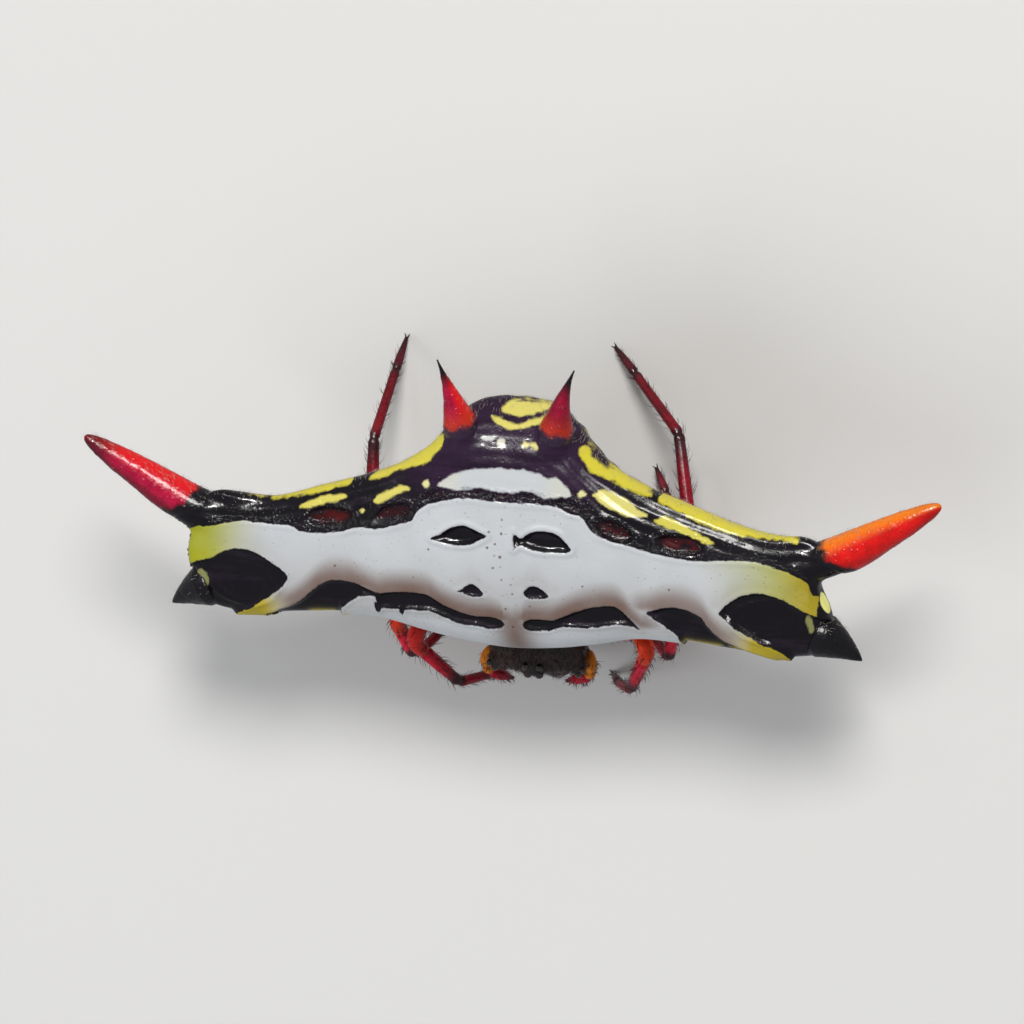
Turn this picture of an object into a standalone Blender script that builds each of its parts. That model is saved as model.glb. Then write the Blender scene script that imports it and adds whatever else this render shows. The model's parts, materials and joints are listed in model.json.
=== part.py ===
"""Spiny orb weaver at life size, a still model that stands on its eight feet.

The wide, hard abdomen carries three pairs of spines and sinks its muscle scars into the shield.
The small head and thorax hang under its front edge, with eyes, jaws, palps and four pairs of legs.
Lengths are in millimetres and become metres in the meshes. X runs across the animal, +X to its
left side, +Y to its rear end, +Z up, and Z is 0 on the floor.
"""
import math

import bmesh
import bpy
from mathutils import Matrix, Quaternion, Vector

MM = 0.001

# Driving dimensions
SHIELD_HEIGHT = 5.8        # floor to the top of the shield
MIDDLE_Y = 0.108           # middle of the whole length, measured from the shield's own zero
GAP = 0.3                  # clear space between neighbouring parts
WING_REACH = 8.35          # middle to the end of the shield's side, without spines
WING_ROUND_START = 7.5     # where the side begins to round off

# Outlines of the abdomen: half width from the middle, and the value there.
# Heights count down from the top of the shield.
FRONT_EDGE = [(0, -2.62), (1.2, -2.52), (2.2, -2.32), (3.3, -2.0), (4.2, -1.92), (5.2, -1.98),
              (6.2, -2.15), (7.0, -2.28), (7.6, -2.25)]
BACK_EDGE = [(0, 4.1), (0.9, 4.02), (1.5, 3.5), (2.0, 2.85), (2.6, 2.35), (3.4, 1.95),
             (4.9, 1.45), (6.0, 1.1), (6.9, 0.96), (7.6, 1.0)]
TOP = [(0, 0.0), (2.0, -0.1), (4.2, -0.3), (6.9, -0.45), (7.6, -0.6)]
FRONT_RIM = [(0, -1.4), (3.3, -1.3), (7.6, -1.2)]
BACK_RIM = [(0, -1.7), (1.5, -1.4), (2.6, -1.1), (5.0, -0.95), (7.6, -0.85)]
BELLY = [(0, -4.3), (1.0, -4.15), (2.0, -3.55), (3.0, -2.85), (4.2, -2.3), (6.9, -1.9), (7.6, -1.7)]
TOP_FULLNESS = [(0, 2.15), (2.5, 2.4), (4.5, 3.0), (7.6, 2.6)]
BELLY_FULLNESS_FRONT = [(0, 1.2), (2.5, 1.3), (4.5, 2.0), (7.6, 2.2)]
BELLY_FULLNESS_BACK = [(0, 1.7), (2.5, 1.6), (4.5, 2.0), (7.6, 2.2)]
SECTION_STEP = 0.3
WING_END_SHARES = (0.2, 0.4, 0.6, 0.8, 0.95)
TOP_STEPS = 18
BELLY_STEPS = 10

# Sunken muscle scars of the shield, given for the left side and mirrored, but for the middle one:
# centre x, centre y, half length, half width, turn in degrees, depth
MIDDLE_SCAR = (0.0, 1.62, 0.3, 0.15, 0, 0.09)
SCARS = [
    (6.9, -1.15, 1.25, 0.76, 6, 0.16),
    (4.6, -1.38, 0.9, 0.3, -8, 0.12),
    (2.75, -1.42, 0.75, 0.27, 10, 0.12),
    (1.15, -1.76, 0.7, 0.17, 5, 0.1),
    (1.09, 0.55, 0.68, 0.28, -4, 0.12),
    (0.84, -0.85, 0.32, 0.2, -15, 0.1),
    (0.73, 1.68, 0.42, 0.15, 0, 0.09),
    (1.75, 1.46, 0.45, 0.17, -22, 0.09),
    (3.0, 0.9, 0.55, 0.26, -18, 0.12),
    (4.45, 0.62, 0.55, 0.26, -10, 0.12),
]
SCAR_SIDES = 16
SCAR_EDGE = 0.75           # share of a scar's cutter that its outline on the shield takes

# Spines, given for the left side: root inside the body, colour change, tip, sideways bow,
# radius at the root, at the colour change and at the tip, and how slowly it thins towards the tip
SPINES = {
    "anterior": ((7.0, -1.25, -1.12), (8.12, -1.6, -1.17), (9.0, -2.22, -1.42), -0.12, 0.7, 0.56, 0.05, 0.85),
    "median": ((6.88, -0.27, -1.15), (8.3, 0.76, -0.93), (11.12, 2.13, -0.72), 0.06, 0.7, 0.53, 0.05, 0.46),
    "posterior": ((1.2, 2.5, -0.95), (1.36, 3.2, -0.55), (1.8, 4.95, -0.1), -0.07, 0.6, 0.44, 0.05, 0.9),
}
SPINE_SIDES = 12
SPINE_RINGS = 8
FLARE_RINGS = 4

# Head and thorax: place along Y, half width, top and underside above the floor
CARAPACE = [(-3.85, 0.98, 2.36, 1.74), (-3.72, 1.2, 2.56, 1.58), (-3.45, 1.28, 2.66, 1.45),
            (-3.05, 1.27, 2.66, 1.38), (-2.75, 1.28, 2.52, 1.34), (-2.45, 1.46, 2.44, 1.3),
            (-2.1, 1.6, 2.38, 1.28), (-1.75, 1.48, 2.2, 1.28), (-1.42, 1.1, 1.98, 1.32),
            (-1.2, 0.7, 1.8, 1.4)]
CARAPACE_FULLNESS = 2.5
CARAPACE_SIDES = 28
CARAPACE_STEP = 0.17
STERNUM_CENTRE = (0.0, -2.25, 0.82)
STERNUM_HALF = (0.72, 0.95, 0.17)
STERNUM_SIDES = 18
PEDICEL = ((0.0, -1.6, 1.35), (0.0, -0.3, 2.75))
PEDICEL_RADIUS = 0.3
SPINNERET_CENTRE = (0.0, 0.85)
SPINNERET_TOP = 1.5
SPINNERET_TIP = 0.72
SPINNERET_RADIUS = 0.42

# Jaws
JAW_TOP = (0.36, -3.72, 1.95)
JAW_BOTTOM = (0.33, -3.98, 0.62)
JAW_RADII = (0.33, 0.31, 0.25, 0.17)
JAW_RINGS = 5

# Legs: trochanter, knee, end of the tibia, end of the metatarsus, tip on the floor.
# The knee is the corner of two straight lines, which the leg itself rounds off.
LEGS = {
    "leg_1_right": [(-1.75, -2.88, 1.5), (-3.36, -2.62, 3.25), (-2.23, -4.5, 1.6),
                    (-1.62, -4.48, 0.62), (-1.35, -4.4, 0)],
    "leg_1_left": [(1.75, -2.88, 1.5), (3.42, -2.3, 3.25), (2.41, -4.25, 1.6),
                   (1.72, -4.45, 0.62), (1.42, -4.4, 0)],
    "leg_2_right": [(-1.98, -2.32, 1.25), (-3.95, -2.3, 2.35), (-3.7, -4.0, 1.2),
                    (-3.1, -3.6, 0.45), (-2.75, -3.35, 0)],
    "leg_2_left": [(1.98, -2.32, 1.25), (3.6, -1.75, 2.35), (3.2, -3.55, 1.2),
                   (2.6, -3.25, 0.45), (2.25, -3.05, 0)],
    "leg_3_right": [(-1.95, -1.66, 1.22), (-3.5, -1.35, 2.0), (-3.85, -0.25, 1.15),
                    (-3.55, 0.25, 0.5), (-3.3, 0.6, 0)],
    "leg_3_left": [(1.95, -1.64, 1.22), (3.32, -1.22, 1.9), (3.3, -0.1, 1.15),
                   (2.85, 0.6, 0.45), (2.5, 1.1, 0)],
    "leg_4_right": [(-1.65, -0.98, 1.5), (-4.2, -0.5, 2.95), (-4.3, 1.96, 2.4),
                    (-4.2, 3.35, 0.8), (-4.14, 4.0, 0)],
    "leg_4_left": [(1.65, -0.98, 1.5), (4.25, -0.3, 2.95), (3.55, 2.58, 1.9),
                   (2.05, 3.7, 0.6), (1.39, 4.19, 0)],
}
COXA_ROOTS = {1: (1.0, -2.86, 1.38), 2: (1.0, -2.3, 1.12), 3: (1.0, -1.72, 1.12), 4: (1.0, -1.16, 1.38)}
LEG_BENDS = (0.5, 0.4, 0.4, 0.5)
LEG_RADII = {"root": 0.26, "trochanter": 0.26, "femur": 0.31, "knee": 0.28, "tibia": 0.29, "ankle": 0.26,
             "metatarsus": 0.26, "tarsus": 0.25, "tip": 0.14}
LEG_SIDES = 8

# Palps: root, knee, end of the tibia, tip; left side
PALP = [(0.92, -3.5, 1.3), (1.6, -3.62, 1.75), (1.5, -4.33, 1.5), (1.05, -4.6, 0.95)]
PALP_BENDS = (0.32, 0.35)
PALP_RADII = (0.25, 0.25, 0.25, 0.26, 0.12)
ARC_STEP = math.radians(32)
STRAIGHT_STEP = 0.9

# Eyes: mound centre, mound half sizes, and each bead as place from the mound's centre and radius
EYE_MOUNDS = {
    "eyes_median": ((0.0, -3.62, 2.5), (0.4, 0.3, 0.27),
                    [(-0.15, -0.22, 0.07, 0.12), (0.15, -0.22, 0.07, 0.12),
                     (-0.17, -0.02, 0.2, 0.11), (0.17, -0.02, 0.2, 0.11)]),
    "eyes_left": ((1.08, -3.66, 2.2), (0.27, 0.27, 0.26),
                  [(0.06, -0.2, 0.06, 0.1), (0.17, -0.08, 0.12, 0.1)]),
}
MOUND_SIDES = 12
BEAD_SIDES = 8

# Colour, roughness and metallic value of each finish
FINISHES = {
    "shield": ((0.82, 0.8, 0.74), 0.32, 0.0),
    "spine_red": ((0.55, 0.03, 0.015), 0.25, 0.0),
    "spine_black": ((0.015, 0.012, 0.012), 0.3, 0.0),
    "head": ((0.02, 0.014, 0.012), 0.5, 0.0),
    "leg": ((0.27, 0.02, 0.012), 0.35, 0.0),
    "palp": ((0.6, 0.16, 0.02), 0.4, 0.0),
    "eye": ((0.02, 0.015, 0.012), 0.08, 0.0),
    "jaw": ((0.03, 0.012, 0.01), 0.3, 0.0),
    "spinneret": ((0.12, 0.04, 0.03), 0.5, 0.0),
}


def clear_scene():
    for item in list(bpy.data.objects):
        bpy.data.objects.remove(item, do_unlink=True)


def new_collection(name):
    collection = bpy.data.collections.new(name)
    bpy.context.scene.collection.children.link(collection)
    return collection


def make_materials():
    materials = {}
    for name, (colour, roughness, metallic) in FINISHES.items():
        item = bpy.data.materials.new(name)
        item.use_nodes = True
        shader = item.node_tree.nodes["Principled BSDF"]
        shader.inputs["Base Color"].default_value = (*colour, 1)
        shader.inputs["Roughness"].default_value = roughness
        shader.inputs["Metallic"].default_value = metallic
        item.diffuse_color = (*colour, 1)
        materials[name] = item
    return materials


def smooth_value(table, place):
    """The value at a place on a smooth curve through a table of (place, value) pairs."""
    places = [row[0] for row in table]
    values = [row[1] for row in table]
    if place <= places[0]:
        return values[0]
    if place >= places[-1]:
        return values[-1]
    i = max(k for k in range(len(places) - 1) if places[k] <= place)
    slopes = []
    for k in (i, i + 1):
        low = max(k - 1, 0)
        high = min(k + 1, len(places) - 1)
        slopes.append((values[high] - values[low]) / (places[high] - places[low]))
    if i == 0:
        slopes[0] = 0.0
    width = places[i + 1] - places[i]
    t = (place - places[i]) / width
    start = (2 * t ** 3 - 3 * t ** 2 + 1) * values[i] + (t ** 3 - 2 * t ** 2 + t) * width * slopes[0]
    end = (3 * t ** 2 - 2 * t ** 3) * values[i + 1] + (t ** 3 - t ** 2) * width * slopes[1]
    return start + end


def spread(low, high, step):
    """Even places from low to high, no further apart than step."""
    count = max(1, math.ceil((high - low) / step))
    return [low + (high - low) * k / count for k in range(count + 1)]


def mesh_object(name, mesh, collection, finish=None):
    item = bpy.data.objects.new(name, mesh)
    collection.objects.link(item)
    if finish:
        mesh.materials.clear()
        mesh.materials.append(finish)
    return item


def loft(name, rings, collection, finish=None, tip=None):
    """Closed body through rings of equal count, with flat ends, or one end drawn to a tip."""
    shape = bmesh.new()
    rows = [[shape.verts.new((x * MM, (y - MIDDLE_Y) * MM, z * MM)) for x, y, z in ring] for ring in rings]
    count = len(rows[0])
    for low, high in zip(rows, rows[1:]):
        for k in range(count):
            shape.faces.new((low[k], low[(k + 1) % count], high[(k + 1) % count], high[k]))
    shape.faces.new(rows[0])
    if tip:
        point = shape.verts.new((tip[0] * MM, (tip[1] - MIDDLE_Y) * MM, tip[2] * MM))
        for k in range(count):
            shape.faces.new((rows[-1][k], rows[-1][(k + 1) % count], point))
    else:
        shape.faces.new(rows[-1])
    bmesh.ops.recalc_face_normals(shape, faces=shape.faces)
    mesh = bpy.data.meshes.new(name)
    shape.to_mesh(mesh)
    shape.free()
    return mesh_object(name, mesh, collection, finish)


def ellipsoid(name, centre, half, sides, collection, finish=None):
    shape = bmesh.new()
    bmesh.ops.create_uvsphere(shape, u_segments=sides, v_segments=max(6, sides // 2), radius=1.0)
    place = Matrix.Translation((centre[0] * MM, (centre[1] - MIDDLE_Y) * MM, centre[2] * MM))
    size = Matrix.Diagonal((half[0] * MM, half[1] * MM, half[2] * MM, 1.0))
    bmesh.ops.transform(shape, matrix=place @ size, verts=shape.verts)
    mesh = bpy.data.meshes.new(name)
    shape.to_mesh(mesh)
    shape.free()
    return mesh_object(name, mesh, collection, finish)


def keep_largest(mesh):
    """Leaves only the largest closed surface of a mesh."""
    shape = bmesh.new()
    shape.from_mesh(mesh)
    left = set(shape.verts)
    shells = []
    while left:
        shell = {left.pop()}
        edge_of_search = list(shell)
        while edge_of_search:
            vert = edge_of_search.pop()
            for edge in vert.link_edges:
                other = edge.other_vert(vert)
                if other in left:
                    left.remove(other)
                    shell.add(other)
                    edge_of_search.append(other)
        shells.append(shell)
    shells.sort(key=shell_size)
    for shell in shells[:-1]:
        bmesh.ops.delete(shape, geom=list(shell), context="VERTS")
    shape.to_mesh(mesh)
    shape.free()


def shell_size(shell):
    corners = [vert.co for vert in shell]
    spans = [max(co[k] for co in corners) - min(co[k] for co in corners) for k in range(3)]
    return spans[0] * spans[1] * spans[2]


def apply_modifiers(item):
    """Replaces an object's mesh by what its modifiers make of it."""
    evaluated = item.evaluated_get(bpy.context.evaluated_depsgraph_get())
    old = item.data
    mesh = bpy.data.meshes.new_from_object(evaluated)
    item.modifiers.clear()
    item.data = mesh
    mesh.name = item.name
    bpy.data.meshes.remove(old)


def join(item, pieces, operation="UNION"):
    """One closed body from an object and a list of pieces, added or taken out, which are then removed."""
    group = new_collection(item.name + "_pieces")
    for piece in pieces:
        for owner in list(piece.users_collection):
            owner.objects.unlink(piece)
        group.objects.link(piece)
    modifier = item.modifiers.new("join", "BOOLEAN")
    modifier.operation = operation
    modifier.operand_type = "COLLECTION"
    modifier.collection = group
    modifier.solver = "EXACT"
    apply_modifiers(item)
    for piece in pieces:
        bpy.data.objects.remove(piece, do_unlink=True)
    bpy.data.collections.remove(group)
    keep_largest(item.data)


def cut(item, cutters):
    """Takes the cutters' space out of an object and keeps its largest piece."""
    for cutter in cutters:
        modifier = item.modifiers.new("cut", "BOOLEAN")
        modifier.operation = "DIFFERENCE"
        modifier.object = cutter
        modifier.solver = "EXACT"
    apply_modifiers(item)
    keep_largest(item.data)


def abdomen_section(x, grow):
    """Ring of the abdomen at one place across it, grown outwards by a distance."""
    angles = [math.pi * k / TOP_STEPS for k in range(TOP_STEPS)]
    angles += [math.pi + math.pi * k / BELLY_STEPS for k in range(BELLY_STEPS)]
    return [abdomen_point(x, math.cos(angle), angle < math.pi, grow) for angle in angles]


def abdomen_point(x, t, on_top, grow=0.0):
    """Point of the abdomen's surface: t runs from -1 at the front edge to 1 at the back edge."""
    ax = min(abs(x), WING_ROUND_START)
    over = max(0.0, abs(x) - WING_ROUND_START) / (WING_REACH - WING_ROUND_START + grow)
    shrink = max(0.0, 1 - over ** 2.4) ** (1 / 2.4)
    front = smooth_value(FRONT_EDGE, ax) - grow
    back = smooth_value(BACK_EDGE, ax) + grow
    rim = smooth_value(BACK_RIM, ax) * (1 + t) / 2 + smooth_value(FRONT_RIM, ax) * (1 - t) / 2
    if on_top:
        height = smooth_value(TOP, ax) + grow - rim
        fullness = smooth_value(TOP_FULLNESS, ax)
    else:
        height = smooth_value(BELLY, ax) - grow - rim
        fullness = smooth_value(BELLY_FULLNESS_BACK if t > 0 else BELLY_FULLNESS_FRONT, ax)
    lift = height * max(0.0, 1 - abs(t) ** fullness) ** (1 / fullness)
    y = (front + back) / 2 + (back - front) / 2 * shrink * t
    return Vector((x, y, SHIELD_HEIGHT + rim + lift * (0.25 + 0.75 * shrink)))


def shield_point(x, y):
    """Point on top of the shield above a place."""
    ax = min(abs(x), WING_ROUND_START)
    front = smooth_value(FRONT_EDGE, ax)
    back = smooth_value(BACK_EDGE, ax)
    return abdomen_point(x, (2 * y - front - back) / (back - front), True)


def shield_axes(x, y):
    """Directions along the shield, across it and out of it at a place."""
    step = 0.1
    along = (shield_point(x + step, y) - shield_point(x - step, y)).normalized()
    back = shield_point(x, y + step) - shield_point(x, y - step)
    out = along.cross(back).normalized()
    return along, out.cross(along), out


def scar_cutter(scar, side, collection):
    """Lens that sinks one muscle scar into the shield."""
    cx, cy, half_length, half_width, turn, depth = scar
    along, back, out = shield_axes(cx * side, cy)
    angle = math.radians(turn) * side
    length_way = along * math.cos(angle) + back * math.sin(angle)
    width_way = out.cross(length_way)
    half_height = depth / (1 - math.sqrt(1 - SCAR_EDGE ** 2))
    centre = shield_point(cx * side, cy) + out * (half_height - depth)
    centre.y -= MIDDLE_Y
    shape = bmesh.new()
    bmesh.ops.create_uvsphere(shape, u_segments=SCAR_SIDES, v_segments=6, radius=1.0)
    length_axis = length_way * (half_length / SCAR_EDGE)
    width_axis = width_way * (half_width / SCAR_EDGE)
    turned = Matrix((length_axis, width_axis, out * half_height)).transposed().to_4x4()
    place = Matrix.Scale(MM, 4) @ Matrix.Translation(centre) @ turned
    bmesh.ops.transform(shape, matrix=place, verts=shape.verts)
    mesh = bpy.data.meshes.new("scar")
    shape.to_mesh(mesh)
    shape.free()
    return mesh_object("scar", mesh, collection)


def abdomen_shape(name, collection, finish=None, grow=0.0):
    overhang = WING_REACH + grow - WING_ROUND_START
    inner = spread(-WING_ROUND_START, WING_ROUND_START, SECTION_STEP)
    ends = [WING_ROUND_START + overhang * math.sin(math.pi / 2 * share) for share in WING_END_SHARES]
    places = [-x for x in reversed(ends)] + inner + ends
    return loft(name, [abdomen_section(x, grow) for x in places], collection, finish)


def mirrored(point, side):
    return Vector((point[0] * side, point[1], point[2]))


def above_floor(point):
    """A point of the shield, whose height counts from the shield's top, as a point above the floor."""
    return Vector((point[0], point[1], point[2] + SHIELD_HEIGHT))


def frames_along(points):
    """Direction and two cross directions at each point of a path, turning no more than it must."""
    directions = []
    for k in range(len(points)):
        low = points[max(k - 1, 0)]
        high = points[min(k + 1, len(points) - 1)]
        directions.append((high - low).normalized())
    first = directions[0].cross(Vector((0, 0, 1)))
    if first.length < 0.2:
        first = directions[0].cross(Vector((0, 1, 0)))
    across = first.normalized()
    frames = []
    for k, direction in enumerate(directions):
        if k:
            across = directions[k - 1].rotation_difference(direction) @ across
            across = (across - direction * across.dot(direction)).normalized()
        frames.append((direction, across, direction.cross(across)))
    return frames


def rings_along(points, radii, sides):
    """Rings square to a path."""
    rings = []
    angles = [2 * math.pi * (k + 0.5) / sides for k in range(sides)]
    for point, radius, (_, across, upward) in zip(points, radii, frames_along(points)):
        spokes = [across * math.cos(angle) + upward * math.sin(angle) for angle in angles]
        rings.append([point + spoke * radius for spoke in spokes])
    return rings


def stand_on_floor(ring, direction):
    """Slides the points of a leg's last ring along the leg until they lie on the floor."""
    return [point - direction * (point.z / direction.z) for point in ring]


def spine_point(kind, side, t):
    """Point of a spine's middle line, from 0 at its root inside the body to 1 at its tip."""
    root, _, tip, bow = SPINES[kind][:4]
    start = above_floor(mirrored(root, side))
    end = above_floor(mirrored(tip, side))
    along = (end - start).normalized()
    sideways = along.cross(Vector((0, 0, 1))).normalized() * side
    return start.lerp(end, t) + sideways * (bow * 4 * t * (1 - t))


def spine_change(kind):
    """Where along a spine the body's part ends and the free spine begins."""
    root, change, tip = (Vector(SPINES[kind][k]) for k in range(3))
    return (change - root).length / (tip - root).length


def spine_radius(kind, t):
    """Radius along a spine: a flare down to the colour change, then a full cone that ends blunt."""
    root_radius, base_radius, tip_radius, taper = SPINES[kind][4:]
    change = spine_change(kind)
    if t < change:
        return base_radius + (root_radius - base_radius) * (1 - t / change) ** 1.6
    u = (t - change) / (1 - change)
    return tip_radius + (base_radius - tip_radius) * max(0.0, 1 - u) ** taper


def spine_piece(name, kind, side, low, high, collection, finish=None, sharp=False):
    places = spread(low, high, (high - low) / (SPINE_RINGS if sharp else FLARE_RINGS) + 1e-9)
    points = [spine_point(kind, side, t) for t in places]
    radii = [spine_radius(kind, t) for t in places]
    tip = None
    if sharp:
        tip = points[-1] + (points[-1] - points[-2]).normalized() * radii[-1]
    return loft(name, rings_along(points, radii, SPINE_SIDES), collection, finish, tip)


def make_abdomen(parts, cutters, materials):
    """The shield with the black flares that carry the spines, and each free spine."""
    body = abdomen_shape("abdomen", parts, materials["shield"])
    body_space = abdomen_shape("abdomen_space", cutters, grow=GAP)
    flares = []
    for kind in SPINES:
        root, _, tip = (Vector(SPINES[kind][k]) for k in range(3))
        gap = GAP / (tip - root).length
        change = spine_change(kind)
        last = 1 - SPINES[kind][6] / (tip - root).length
        finish = materials["spine_black" if kind == "anterior" else "spine_red"]
        for side, word in ((1, "left"), (-1, "right")):
            flares.append(spine_piece("flare", kind, side, 0.0, change, parts))
            name = f"spine_{kind}_{word}"
            spine = spine_piece(name, kind, side, change + gap, last, parts, finish, sharp=True)
            if kind != "median":
                cut(spine, [body_space])
    join(body, flares)
    scars = [scar_cutter(scar, side, parts) for scar in SCARS for side in (1, -1)]
    scars.append(scar_cutter(MIDDLE_SCAR, 1, parts))
    join(body, scars, "DIFFERENCE")
    return body_space


def carapace_shape(name, collection, finish=None, grow=0.0):
    """Head and thorax as one shell, from the face to the waist."""
    places = spread(CARAPACE[0][0], CARAPACE[-1][0], CARAPACE_STEP)
    rings = []
    for k, y in enumerate(places):
        width, top, under = (smooth_value([(row[0], row[c]) for row in CARAPACE], y) for c in (1, 2, 3))
        width += grow
        middle = (top + under) / 2
        half = (top - under) / 2 + grow
        place = y
        if k == 0:
            place -= grow
        if k == len(places) - 1:
            place += grow
        ring = []
        for step in range(CARAPACE_SIDES):
            angle = 2 * math.pi * step / CARAPACE_SIDES
            c = math.cos(angle)
            s = math.sin(angle)
            power = 2 / CARAPACE_FULLNESS
            x = math.copysign(abs(c) ** power, c) * width
            z = middle + math.copysign(abs(s) ** power, s) * half
            ring.append((x, place, z))
        rings.append(ring)
    return loft(name, rings, collection, finish)


def grown(half, distance):
    return tuple(value + distance for value in half)


def make_head(parts, cutters, materials):
    """Head and thorax, the eyes on their mounds, the jaws and the plate between the legs."""
    carapace = carapace_shape("cephalothorax", parts, materials["head"])
    mounds = dict(EYE_MOUNDS)
    centre, half, beads = EYE_MOUNDS["eyes_left"]
    other_beads = [(-x, y, z, radius) for x, y, z, radius in beads]
    mounds["eyes_right"] = (mirrored(centre, -1), half, other_beads)
    pockets = []
    for name, (centre, half, beads) in mounds.items():
        mound = ellipsoid(name, centre, half, MOUND_SIDES, parts, materials["eye"])
        balls = []
        for x, y, z, radius in beads:
            place = (centre[0] + x, centre[1] + y, centre[2] + z)
            balls.append(ellipsoid("bead", place, (radius,) * 3, BEAD_SIDES, parts))
        join(mound, balls)
        pockets.append(ellipsoid("pocket", centre, grown(half, GAP), MOUND_SIDES, cutters))
    cut(carapace, pockets)

    ellipsoid("sternum", STERNUM_CENTRE, STERNUM_HALF, STERNUM_SIDES, parts, materials["head"])
    head_space = carapace_shape("head_space", cutters, grow=GAP)
    sternum_reach = grown(STERNUM_HALF, GAP)
    sternum_space = ellipsoid("sternum_space", STERNUM_CENTRE, sternum_reach, STERNUM_SIDES, cutters)

    for side, word in ((1, "left"), (-1, "right")):
        top = mirrored(JAW_TOP, side)
        bottom = mirrored(JAW_BOTTOM, side)
        places = [k / (JAW_RINGS - 1) for k in range(JAW_RINGS)]
        table = [(k / (len(JAW_RADII) - 1), radius) for k, radius in enumerate(JAW_RADII)]
        points = [top.lerp(bottom, t) for t in places]
        radii = [smooth_value(table, t) for t in places]
        tip = bottom + (bottom - top).normalized() * JAW_RADII[-1] * 0.5
        jaw = loft(f"chelicera_{word}", rings_along(points, radii, 12), parts, materials["jaw"], tip)
        cut(jaw, [head_space])
    return head_space, sternum_space


def rounded_path(corners, bends):
    """A path of straight stretches and arcs, and the distances at which each arc starts and ends."""
    points = [corners[0]]
    marks = []
    for i in range(1, len(corners) - 1):
        corner = corners[i]
        back = corners[i - 1] - corner
        ahead = corners[i + 1] - corner
        turn = math.pi - back.angle(ahead)
        reach = min(bends[i - 1] * math.tan(turn / 2), 0.46 * back.length, 0.46 * ahead.length)
        radius = reach / math.tan(turn / 2)
        start = corner + back.normalized() * reach
        end = corner + ahead.normalized() * reach
        inwards = (back.normalized() + ahead.normalized()).normalized()
        middle = corner + inwards * (radius / math.cos(turn / 2))
        axis = (start - middle).cross(end - middle).normalized()
        add_straight(points, start)
        steps = max(2, math.ceil(turn / ARC_STEP))
        marks.append(path_length(points))
        for k in range(1, steps + 1):
            points.append(middle + Quaternion(axis, turn * k / steps) @ (start - middle))
        marks.append(path_length(points))
    add_straight(points, corners[-1])
    return points, marks


def add_straight(points, end):
    """Carries a path on to an end point in even steps."""
    start = points[-1]
    count = max(1, math.ceil((end - start).length / STRAIGHT_STEP))
    points.extend(start.lerp(end, k / count) for k in range(1, count + 1))


def path_length(points):
    return sum((b - a).length for a, b in zip(points, points[1:]))


def stretch(points, low, high):
    """The points of a path between two distances along it, and the distance of each."""
    places = [0.0]
    for a, b in zip(points, points[1:]):
        places.append(places[-1] + (b - a).length)
    found = [(low, point_at(points, places, low))]
    for point, place in zip(points, places):
        if low + 0.05 < place < high - 0.05:
            found.append((place, point))
    found.append((high, point_at(points, places, high)))
    return [row[1] for row in found], [row[0] for row in found]


def point_at(points, places, distance):
    for k in range(len(points) - 1):
        if places[k + 1] >= distance - 1e-9:
            span = places[k + 1] - places[k]
            return points[k].lerp(points[k + 1], (distance - places[k]) / span)
    return points[-1]


def make_leg(name, parts, materials, spaces):
    """A leg in three parts: femur with its root, patella with tibia, and metatarsus with tarsus."""
    side = 1 if name.endswith("left") else -1
    number = int(name.split("_")[1])
    corners = [mirrored(COXA_ROOTS[number], side)] + [Vector(p) for p in LEGS[name]]
    points, marks = rounded_path(corners, LEG_BENDS)
    total = path_length(points)
    knee = marks[2]
    ankle = marks[4]
    sizes = LEG_RADII
    profile = [
        (0.0, sizes["root"]),
        (marks[1], sizes["trochanter"]),
        ((marks[1] + knee) / 2, sizes["femur"]),
        (knee, sizes["knee"]),
        ((marks[3] + ankle) / 2, sizes["tibia"]),
        (ankle, sizes["ankle"]),
        ((marks[5] + marks[6]) / 2, sizes["metatarsus"]),
        (marks[6] + 0.01, sizes["tarsus"]),
        (total, sizes["tip"]),
    ]
    stretches = {"femur": (0.0, knee - GAP), "tibia": (knee, ankle - GAP), "tarsus": (ankle, total)}
    for word, (low, high) in stretches.items():
        line, places = stretch(points, low, high)
        radii = [smooth_value(profile, place) for place in places]
        rings = rings_along(line, radii, LEG_SIDES)
        if word == "tarsus":
            rings[-1] = stand_on_floor(rings[-1], (line[-1] - line[-2]).normalized())
        limb = loft(f"{name}_{word}", rings, parts, materials["leg"])
        if word == "femur":
            cut(limb, spaces)


def make_palp(side, word, parts, materials, spaces):
    corners = [mirrored(p, side) for p in PALP]
    points, marks = rounded_path(corners, PALP_BENDS)
    total = path_length(points)
    stops = (0.0, marks[1], marks[3], (marks[3] + total) / 2, total)
    profile = list(zip(stops, PALP_RADII))
    line, places = stretch(points, 0.0, total)
    rings = rings_along(line, [smooth_value(profile, place) for place in places], LEG_SIDES)
    tip = line[-1] + (line[-1] - line[-2]).normalized() * PALP_RADII[-1] * 0.6
    palp = loft(f"palp_{word}", rings, parts, materials["palp"], tip)
    cut(palp, spaces)


def make_waist(parts, materials, spaces):
    """The narrow stalk between thorax and abdomen."""
    points = [Vector(p) for p in PEDICEL]
    middle = points[0].lerp(points[1], 0.5)
    rings = rings_along([points[0], middle, points[1]], [PEDICEL_RADIUS] * 3, 12)
    cut(loft("pedicel", rings, parts, materials["head"]), spaces)


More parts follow.
